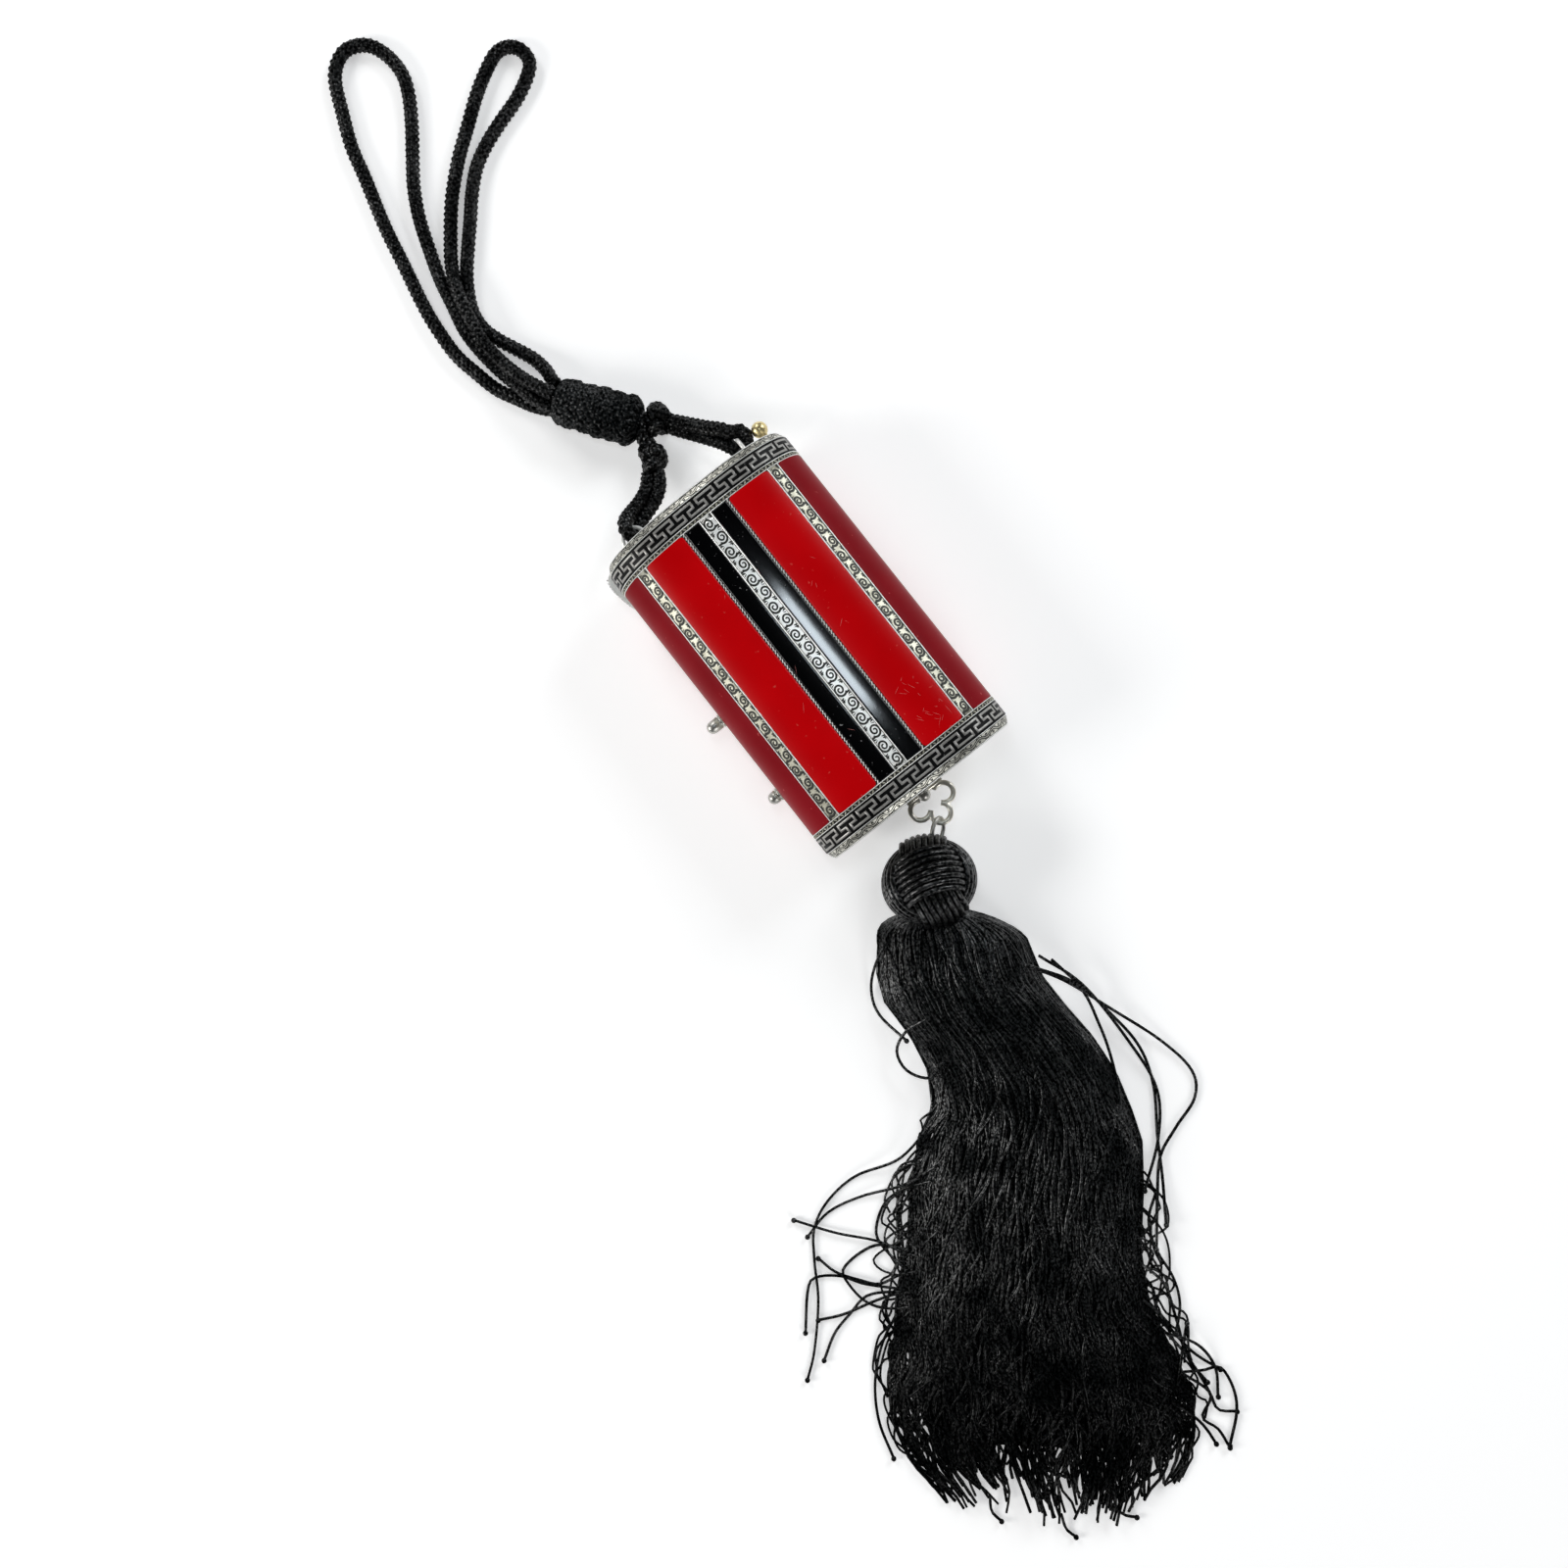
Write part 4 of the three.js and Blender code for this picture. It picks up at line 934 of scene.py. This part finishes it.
def build_tassel_core():
    core = Shape()
    down = np.linspace(CORE_TOP, CORE_END, CORE_ROWS)
    share = np.linspace(-1, 1, CORE_COLUMNS) * 0.9
    rows, columns = np.meshgrid(down, share, indexing="ij")
    columns = columns * shoulder(rows, CORE_TOP) * np.clip((150 - rows) / 40, 0, 1)
    cloud = tassel_place(rows.ravel(), columns.ravel(), np.full(rows.size, 0.84)).reshape(*rows.shape, 3)
    cloud[..., 2] = np.maximum(cloud[..., 2] - 0.8, 2 * CORE_FLOOR)
    floor = cloud[:, ::-1].copy()
    floor[..., 2] = CORE_FLOOR
    core.add(np.concatenate([cloud, floor], 1), grid_faces(CORE_ROWS, 2 * CORE_COLUMNS, False, True))
    core.piece("tassel_core", [SILK_CORE_SHADE], "silk", ("tassel_skirt",))


def sway(random, down, slow, fast, faster=1):
    """A sine wave down the thread, with its own length and start."""
    return np.sin(down * random.uniform(slow, fast) * faster + random.uniform(0, WAVE_TURN))


def build_threads(random):
    groups = [Shape() for _ in range(THREAD_GROUPS)]
    tuft_ends = random.uniform(*TUFT_ENDS, TUFTS)
    tuft_lean = random.normal(0, 0.05, TUFTS)
    for k in range(THREADS):
        start = SHOULDER_TOP + random.uniform(0, 1.2)
        base = random.uniform(-0.97, 0.97)
        if k % 3 == 0:
            base = math.copysign(abs(base) ** 0.6, base)
        tuft = int((base + 1) / 2 * TUFTS)
        in_tuft = random.random() < 0.85
        end = tuft_ends[tuft] + random.uniform(-4.5, 2.5) if in_tuft else random.uniform(*SHORT_ENDS)
        down = start + (end - start) * np.linspace(0, 1, THREAD_STEPS) ** 1.25
        drift = random.normal(0, 0.1)
        wander = np.zeros(THREAD_STEPS)
        for wave in range(3):
            size = random.normal(0, 0.055) / (1 + wave * 0.4)
            wander += size * sway(random, down, 0.03, 0.12, 1 + wave)
        loose = np.clip((down - 55) / 70, 0, 1)
        kinks = random.normal(0, 0.06) * loose * sway(random, down, 0.22, 0.5)
        tangle = np.exp(-((down - 64) / 18) ** 2) * random.normal(0, 0.2)
        fan = random.normal(0, 0.24) * np.clip((down - 98) / 42, 0, 1.2) ** 1.6
        share = np.clip(base + drift * (down - 40) / 90 + wander + tangle + kinks, -1.02, 1.02) + fan
        gather = 0.45 * np.clip((down - 112) / 22, 0, 1) ** 1.5
        share = share + gather * ((tuft + 0.5) / TUFTS * 2 - 1 + tuft_lean[tuft] - share)
        share = np.clip(share, -1.04, 1.04) * shoulder(down, start)
        level = random.uniform(0.86, 1.05) if k % 4 else random.uniform(0.3, 0.85)
        level = level + 0.05 * sway(random, down, 0.06, 0.2)
        line = tassel_place(down, share, level)
        ripple = line[:, 2] + 0.3 * np.sin(down * 0.21 + k) + loose * 0.5 * np.sin(down * 0.43 + 2 * k)
        line[:, 2] = np.maximum(ripple, THREAD_RADIUS)
        add_tube(groups[k % THREAD_GROUPS], line, THREAD_RADIUS * random.uniform(0.8, 1.1), 5)
    for index, shape in enumerate(groups):
        shape.piece(f"tassel_threads_{index + 1}", [SILK_THREAD], "silk")


def with_heights(points, height):
    """Gives this height to the points that have none."""
    return [(*point, height)[:3] for point in points]


def from_picture(points):
    """Points of threads drawn as (column, row, height); a point without a height lies on the table."""
    camera, right, up, back = (np.array(v) for v in (CAMERA_AT, CAMERA_RIGHT, CAMERA_UP, CAMERA_BACK))
    middle = PICTURE_WIDTH / 2
    places = []
    for column, row, height in with_heights(points, STRAY_HEIGHT):
        ray = (column - middle) / FOCAL * right - (row - middle) / FOCAL * up - back
        places.append(camera + ray * (height - camera[2]) / ray[2])
    return places


# Stray threads that can be followed one by one
STRAYS = [
    [(1045, 985, 8), (1085, 1000, 6), (1135, 1030, 3), (1185, 1062, 1), (1216, 1092, 0.6),
     (1219, 1120, 0.6), (1200, 1150, 0.6), (1184, 1180, 1), (1181, 1220, 2), (1180, 1275, 3)],
    [(1060, 975, 8), (1105, 1005, 5), (1150, 1060, 2), (1180, 1110, 0.6), (1182, 1160, 0.6),
     (1168, 1215, 2)],
    [(952, 1145, 6), (918, 1182, 2), (873, 1200, 0.6), (845, 1225), (831, 1253), (831, 1286), (835, 1327),
     (831, 1378), (824, 1408)],
    [(955, 1190, 6), (922, 1209, 2), (878, 1221, 0.6), (845, 1237), (824, 1262)],
    [(950, 1285, 4), (922, 1278, 1.5), (894, 1266, 0.9), (853, 1258, 0.9), (810, 1245)],
    [(950, 1205, 5), (922, 1213, 1.5), (902, 1229), (894, 1258), (906, 1278), (925, 1296, 1.5)],
    [(940, 1200, 5), (918, 1217, 0.8), (916, 1253), (922, 1290, 0.8), (940, 1310, 3)],
    [(945, 1331, 4), (906, 1335), (882, 1327), (863, 1306), (861, 1294), (878, 1278), (898, 1270),
     (925, 1275, 1.5)],
    [(945, 1296, 4), (920, 1300, 1), (898, 1310, 0.9), (877, 1306, 0.9), (853, 1298), (835, 1284)],
    [(940, 1318, 4), (918, 1315, 1), (882, 1310), (857, 1302), (831, 1304), (824, 1319), (822, 1360)],
    [(940, 1320, 4), (915, 1318, 1), (885, 1322, 0.9), (868, 1340), (852, 1360), (841, 1388)],
    [(945, 1322, 4), (918, 1320, 1.4), (894, 1327, 1), (861, 1341), (835, 1347)],
    [(1165, 1325, 4), (1184, 1342, 1), (1198, 1360), (1219, 1381), (1245, 1397)],
    [(1200, 1420, 3), (1202, 1413, 2), (1206, 1381, 0.8), (1211, 1350)],
    [(1180, 1350, 4), (1206, 1377, 0.8), (1223, 1401), (1235, 1422), (1243, 1438), (1262, 1440)],
    [(1205, 1400, 3), (1235, 1422, 0.8), (1227, 1446), (1243, 1458), (1255, 1477)],
    [(1195, 1430, 3), (1219, 1446), (1231, 1458), (1241, 1473)],
    [(945, 1040, 9), (925, 1052, 6), (915, 1072, 4), (925, 1092, 4), (948, 1100, 6), (962, 1085, 8)],
    [(1205, 1400, 3), (1228, 1398, 1), (1245, 1395), (1258, 1415), (1262, 1440), (1255, 1475)],
    [(1190, 1360, 4), (1222, 1372, 1.5), (1240, 1395), (1243, 1425)],
    [(915, 1340, 3), (900, 1372, 1), (893, 1410), (897, 1450), (912, 1488)],
    [(1010, 1525, 2), (1012, 1542, 0.6), (1022, 1552)],
    [(1083, 1545, 2), (1088, 1560, 0.6), (1098, 1568)],
    [(1130, 1530, 2), (1146, 1545, 0.6), (1160, 1548)],
    [(1165, 1290, 4), (1188, 1310, 1.5), (1200, 1345), (1212, 1385), (1232, 1410)],
    [(1050, 985, 8), (1099, 1005, 5), (1122, 1046, 3), (1136, 1087, 2), (1143, 1128, 3), (1140, 1160, 5)],
    [(1073, 979, 7), (1129, 1030, 3), (1162, 1067, 1), (1177, 1108, 0.6), (1181, 1159, 0.6),
     (1186, 1200, 1), (1190, 1250, 2)],
    [(1180, 1215, 2), (1172, 1245, 1), (1180, 1275, 0.8), (1197, 1303, 0.6), (1204, 1330, 0.6),
     (1200, 1360, 2)],
    [(905, 960, 6), (893, 985, 3), (889, 1010, 1), (897, 1035, 2), (925, 1062, 5)],
]


def build_strays(random):
    shape = Shape()
    for points in STRAYS:
        line = spline(from_picture(points), 1.2)
        add_tube(shape, line, THREAD_RADIUS, 6)
        tip = line[-1] + np.array([0, 0, 0.25])
        add_lathe(shape, arc_profile(0.62, 0, -math.pi / 2, 8), tip, unit(line[-1] - line[-3]), 10)
    for _ in range(LOOSE_STRAYS):
        left = random.random() < 0.6
        down = random.uniform(48, 118) if left else random.uniform(62, 120)
        side = -1.0 if left else 1.0
        reach = random.uniform(10, 26)
        room = random.uniform(0.3, 1.0) * np.interp(down, [48, 70, 100, 120], [3, 11, 8, 4.5])
        turn = random.uniform(0.7, 1.9)
        points = []
        for k in np.linspace(0, 1, 7):
            place = tassel_place(np.array([down + reach * k]), np.array([side * 0.94]), np.array([0.7]))[0]
            out = room * math.sin(math.pi * min(k * turn, 1.2) * 0.8) + random.uniform(-0.7, 0.7)
            place = place + TASSEL_ACROSS * side * out + TASSEL_DOWN * random.uniform(-1.2, 1.2)
            place[2] = max(place[2] * (1 - 0.8 * min(k * 2, 1)), 0.4)
            points.append(place)
        add_tube(shape, spline(points, 1.0), THREAD_RADIUS * 0.8, 5)
    shape.piece("stray_threads", [SILK_THREAD], "silk")


# Braided cord

def strand_section(wide, thick, plies):
    """Half a flat strand's outline: crowned, with a groove between its plies."""
    across = np.linspace(-1, 1, 2 * plies + 1)
    groove = np.where(np.arange(2 * plies + 1) % 2, 0.0, 0.3)
    rise = thick * (0.45 - 0.85 * across ** 2 - groove * (np.abs(across) < 0.99))
    return np.stack([across * wide / 2, rise], -1)


def add_braid(shape, line, radius, strands, lead, thick, wide, squash=1.0, slot=0, plies=3):
    """Strands of several plies wound both ways round a line, over and under each other."""
    tangents = tangents_of(line)
    normals = carried_normals(line, tangents, UP if squash != 1.0 else None)
    sideways = np.cross(tangents, normals)
    along = distances_along(line)
    radius = per_point(radius, line)
    lift = 0.42 * thick * np.cos(2 * math.pi * strands * along / lead)
    section = strand_section(wide, thick, plies)
    for way in (1, -1):
        for k in range(strands):
            turn = 2 * math.pi * (k / strands + way * along / lead)
            outward = normals * (np.cos(turn) * squash)[:, None] + sideways * np.sin(turn)[:, None]
            path = line + outward * (radius + way * lift)[:, None]
            across = unit(np.cross(tangents_of(path), outward))
            cloud = np.stack([path + across * a + unit(outward) * b for a, b in section], 1)
            cloud[..., 2] = np.maximum(cloud[..., 2], FLOOR_GAP)
            shape.add(cloud, grid_faces(len(line), len(section)), slot)


def braided_cord(shape, points, radius=CORD_RADIUS):
    line = spline(with_heights(points, LYING), BRAID_STEP)
    add_braid(shape, line, radius * 0.85, 4, 5.6, 0.55, 1.2)
    add_tube(shape, line[::3], radius * 0.72, 8, slot=1)
    return line


WRIST_LOOP_LEFT = [
    (-11.9, 80, 2.8), (-13.3, 81.7, 2.1), (-15.2, 84.5, 1.5), (-16.8, 87.6), (-19.3, 92.7), (-20.7, 98.7),
    (-21.8, 105.2), (-21.4, 113.5), (-20.4, 120.1), (-18.4, 129.3), (-16.4, 138.9), (-13.1, 150.6),
    (-11, 158.6), (-7.6, 166.7), (-4.7, 172.9), (-1.9, 175.9), (1.5, 177.1), (5, 175.9), (7.4, 173.2),
    (8.7, 168.6), (8.5, 163.7), (6.4, 158.7), (2.7, 153), (-1.4, 147.5), (-5.4, 142), (-8.8, 135.7),
    (-11.4, 128.8), (-13.9, 121.1), (-15.3, 114.7), (-16.7, 108.2), (-16.8, 102.5), (-16.2, 96.4, 1.7),
    (-15.2, 91.1, 2.9), (-14, 85.2, 5.1), (-12.9, 82, 5.5), (-11.5, 80.1, 5.6),
]
WRIST_LOOP_RIGHT = [
    (-9.5, 81.3, 8.1), (-10.5, 83, 8.2), (-12.1, 86.7, 7.3), (-13.5, 91.4, 5.8), (-14.5, 96.7, 4.7),
    (-14.9, 102.2, 4.1), (-14.3, 106.9, 4.2), (-13.3, 111.9, 4.2), (-11.7, 116.9, 3.7), (-9.4, 122, 2.3),
    (-6.5, 126.4), (-2.8, 131), (0.9, 135), (6.7, 140.1), (12.7, 144.4), (18.6, 148.6), (23.6, 151.5),
    (28.3, 153.4), (31.6, 152.6), (33.4, 149.9), (33, 146.6), (29.9, 144.1), (25.3, 142), (19.5, 140.4),
    (13.6, 138.4), (8.5, 135.7), (4, 131.7), (0.4, 127.7), (-3.6, 123.4), (-7.8, 118.7), (-10.6, 114.6),
    (-12.6, 110.1), (-13, 105.6), (-11.8, 101.2), (-9.9, 96.8), (-8.2, 92.4, 2), (-7.6, 88.2, 3.3),
    (-7.9, 85.2, 4.2), (-7.7, 83.3, 4.7),
]
STRAP_LEFT = [
    (-3.9, 54.6, 3.4), (-6.2, 51.9, 4.7), (-9.1, 50, 7), (-11.9, 48.7, 9.6), (-14, 47.4, 12.2),
    (-15.2, 45.7, 13.4), (-15.3, 44.1, 12.8), (-15.2, 43.6, 11.2), (-14.9, 44, 9.7), (-13.4, 45.2, 8.6),
    (-11.3, 46.3, 7.6), (-8.7, 47.3, 6.5), (-6.1, 48.5, 5.6), (-3.6, 50.6, 4.5), (-1.9, 53.6, 3.5),
]
STRAP_RIGHT = [
    (6.3, 61.6, 4.5), (7.8, 59.7, 5.4), (10.1, 56.4, 7.1), (12.9, 52.4, 9.2), (14.8, 49.9, 10.9),
    (16, 47.9, 11.5), (17.5, 47.2, 11.5), (18.1, 45.7, 11.4), (17.5, 44.2, 11.3), (16, 43.6, 11.2),
    (14.5, 44.8, 10.4), (13.3, 48, 8.6), (11.4, 51.5, 6.6), (9.1, 55.3, 5), (7, 58.6, 4), (5.8, 61, 3.6),
]
KNOT_MIDDLE = np.array([-4.2, 72.4, 5.6])
KNOT_WAY = unit(np.array([12.2, -17.2, 0.0]))
KNOT_HALF_LENGTH = 9.75
KNOT_RADIUS = 5.2
KNOT_ROUND = 2.6
KNOT_SQUASH = 0.93
KNOT_POINTS = 130


def build_slide_knot():
    shape = Shape()
    half = KNOT_HALF_LENGTH
    places = np.linspace(-half, half, KNOT_POINTS)
    line = KNOT_MIDDLE + places[:, None] * KNOT_WAY
    from_end = np.minimum(half - places, half + places)
    bend = np.clip(1 - from_end / KNOT_ROUND, 0, 1)
    lumps = 0.16 * np.sin(places * 1.9) + 0.14 * np.sin(places * 0.72 + 1.0)
    radius = KNOT_RADIUS + 0.025 * places - KNOT_ROUND * (1 - np.sqrt(1 - bend ** 2)) + lumps
    add_braid(shape, line, radius, 16, 28.0, 0.62, 1.3, squash=KNOT_SQUASH, plies=4)
    tips = np.linspace(-half + 0.1, half - 0.1, 40)
    core = KNOT_MIDDLE + tips[:, None] * KNOT_WAY
    add_tube(shape, core, np.interp(tips, places, radius) - 0.35, 32, first=UP, flat=KNOT_SQUASH, slot=1)
    ring = ring_of(around(28), np.cross(KNOT_WAY, UP), UP)
    for end, way in ((core[0], -1), (core[-1], 1)):
        for k in range(1, 9):
            add_tube(shape, end + way * KNOT_WAY * 0.12 + 0.34 * k * ring, 0.24, 6, True, first=KNOT_WAY)
    return shape.piece("woven_slide_knot", [SILK_TEAL, SILK_CORE_SHADE], "silk", ("slide_knot",))


def build_small_knot(label, middle, half, turn, neck):
    """An overhand knot pulled tight, with its neck."""
    shape = Shape()
    t = np.linspace(0, 2 * math.pi, 120)
    loop = np.stack([(np.sin(t) + 2 * np.sin(2 * t)) / 3, (np.cos(t) - 2 * np.cos(2 * t)) / 3,
                     -np.sin(3 * t)], -1)
    size = np.asarray(half) - 1.0
    local = loop * size
    turned = np.stack([local[:, 0] * math.cos(turn) - local[:, 1] * math.sin(turn),
                       local[:, 0] * math.sin(turn) + local[:, 1] * math.cos(turn), local[:, 2]], -1)
    line = spline(turned[:-1] + np.asarray(middle), 0.3)
    add_braid(shape, line, 1.4, 4, 5.4, 0.5, 1.4)
    add_tube(shape, line[::2], 1.2, 8, slot=1)
    neck_line = spline([neck[0], (np.array(neck[0]) + np.array(neck[1])) / 2, neck[1]], 0.24)
    add_braid(shape, neck_line, 1.7, 4, 5.6, 0.5, 1.6)
    add_tube(shape, neck_line, 1.5, 10, slot=1)
    return shape.piece("tied_knot_" + label, [SILK, SILK_CORE_SHADE], "silk", ("small_knot_" + label,))


def build_cord():
    slide = build_slide_knot()
    left_knot = build_small_knot("left", (-0.9, 57, 3.1), (3.7, 2.85, 2.9), 1.03,
                                 ((-0.3, 58.4, 3.6), (1.2, 64.2, 5.0)))
    right_knot = build_small_knot("right", (5.5, 62.6, 3.6), (3.7, 2.7, 3.3), 0.7,
                                  ((5.2, 62.6, 3.8), (1.6, 65.4, 5.0)))
    straps = []
    for node, points in (("strap_left", STRAP_LEFT), ("strap_right", STRAP_RIGHT)):
        shape = Shape()
        braided_cord(shape, points, STRAP_RADIUS)
        straps.append(shape.piece("braid_" + node, [SILK, SILK_CORE_SHADE], "silk", (node,)))
    for label, points, others in (
        ("left", WRIST_LOOP_LEFT, [slide, left_knot, right_knot, *straps]),
        ("right", WRIST_LOOP_RIGHT, [slide]),
    ):
        shape = Shape()
        line = braided_cord(shape, points)
        loop = shape.piece("braid_loop_" + label, [SILK, SILK_CORE_SHADE], "silk", ("wrist_loop_" + label,))


# Setting

def placed(right, up, back, place):
    """The matrix of a lamp or a camera that looks away from back."""
    return Matrix([*zip(right, up, back, place), (0, 0, 0, 1)])


def build_setting():
    bpy.ops.mesh.primitive_plane_add(size=6, location=(0, 0, -0.00008))
    floor = bpy.context.object
    floor.name = "floor"
    material, nodes, links, shader = new_material("floor_paper")
    shader.inputs["Base Color"].default_value = (0.9, 0.9, 0.9, 1)
    shader.inputs["Roughness"].default_value = 0.9
    shader.inputs["Specular IOR Level"].default_value = 0.1
    shader.inputs["Emission Color"].default_value = (1, 1, 1, 1)
    shader.inputs["Emission Strength"].default_value = 0.42
    floor.data.materials.append(material)
    world = bpy.data.worlds.new("studio")
    bpy.context.scene.world = world
    world.use_nodes = True
    nodes = world.node_tree.nodes
    links = world.node_tree.links
    coordinates = nodes.new("ShaderNodeTexCoord")
    split = nodes.new("ShaderNodeSeparateXYZ")
    links.new(coordinates.outputs["Generated"], split.inputs["Vector"])
    sky = ramp_of(nodes, links, split.outputs["Z"], [
        (0.0, (0.9, 0.92, 0.95)), (0.3, (0.45, 0.46, 0.48)), (0.5, (0.1, 0.1, 0.11)),
        (0.8, (0.015, 0.015, 0.017)),
    ])
    background = nodes["Background"]
    links.new(sky, background.inputs["Color"])
    background.inputs["Strength"].default_value = 0.28
    for name, place, size, power, color in (
        ("window_left", (-0.85, 0.3, 0.5), (0.4, 0.4), 4.8, (1.0, 0.99, 0.97)),
        ("window_right", (0.85, 0.15, 0.5), (0.4, 0.4), 4.0, (0.95, 0.98, 1.0)),
        ("window_far", (0.05, 0.95, 0.6), (0.4, 0.4), 3.4, (1.0, 1.0, 1.0)),
        ("window_near", (-0.1, -1.0, 0.55), (0.4, 0.4), 2.8, (1.0, 1.0, 1.0)),
        ("strip_above", (0.021, 0.032, 0.38), (0.02, 0.064), 0.09, (0.82, 0.92, 1.0)),
    ):
        light = bpy.data.lights.new(name, "AREA")
        light.shape = "RECTANGLE"
        light.size, light.size_y = size
        light.energy = power
        light.color = color
        lamp = bpy.data.objects.new(name, light)
        bpy.context.collection.objects.link(lamp)
        back = unit(np.array(place))
        right = unit(np.cross([0.0, 1.0, 0.0], back))
        up = np.cross(back, right)
        lamp.matrix_world = placed(right, up, back, place)


def build_camera():
    data = bpy.data.cameras.new("camera")
    data.lens = CAMERA_LENS
    data.sensor_width = SENSOR_WIDTH
    data.clip_start = 0.01
    camera = bpy.data.objects.new("camera", data)
    bpy.context.collection.objects.link(camera)
    camera.matrix_world = placed(CAMERA_RIGHT, CAMERA_UP, CAMERA_BACK, [v * MM for v in CAMERA_AT])
    bpy.context.scene.camera = camera
    bpy.context.scene.view_settings.view_transform = "Standard"


build_camera()
build_setting()
build_cord()
build_shell("cover_shell", FRONT, "front_cover")
build_shell("body_shell", BACK, "case_body")
build_panels()
build_key("key_front", FRONT)
build_key("key_back", BACK)
SIDE_BORDERS = [(RED_EDGE + 0.14, 0.26), (SIDE_START - 0.14, 0.26)]
BAND_MIDDLE = (RED_EDGE + SIDE_START) / 2
BAND_HALF = (SIDE_START - RED_EDGE) / 2
SIDE_BANDS = [(-BAND_MIDDLE, BAND_HALF), (BAND_MIDDLE, BAND_HALF)]
build_engraving("engraving_front", FRONT, [(0.0, CENTRE_BAND), *SIDE_BANDS], [(BLACK_EDGE + RED_START) / 2],
                [(CENTRE_BAND - 0.12, 0.24), *SIDE_BORDERS])
build_engraving("engraving_back", BACK, SIDE_BANDS, [], SIDE_BORDERS)
build_lip()
build_buttons()
build_knob()
build_rings()
build_hanger()
build_tassel_ring()
build_ball()
seeded = np.random.default_rng(11)
build_scratches(seeded)
build_tassel_core()
build_threads(seeded)
build_strays(seeded)
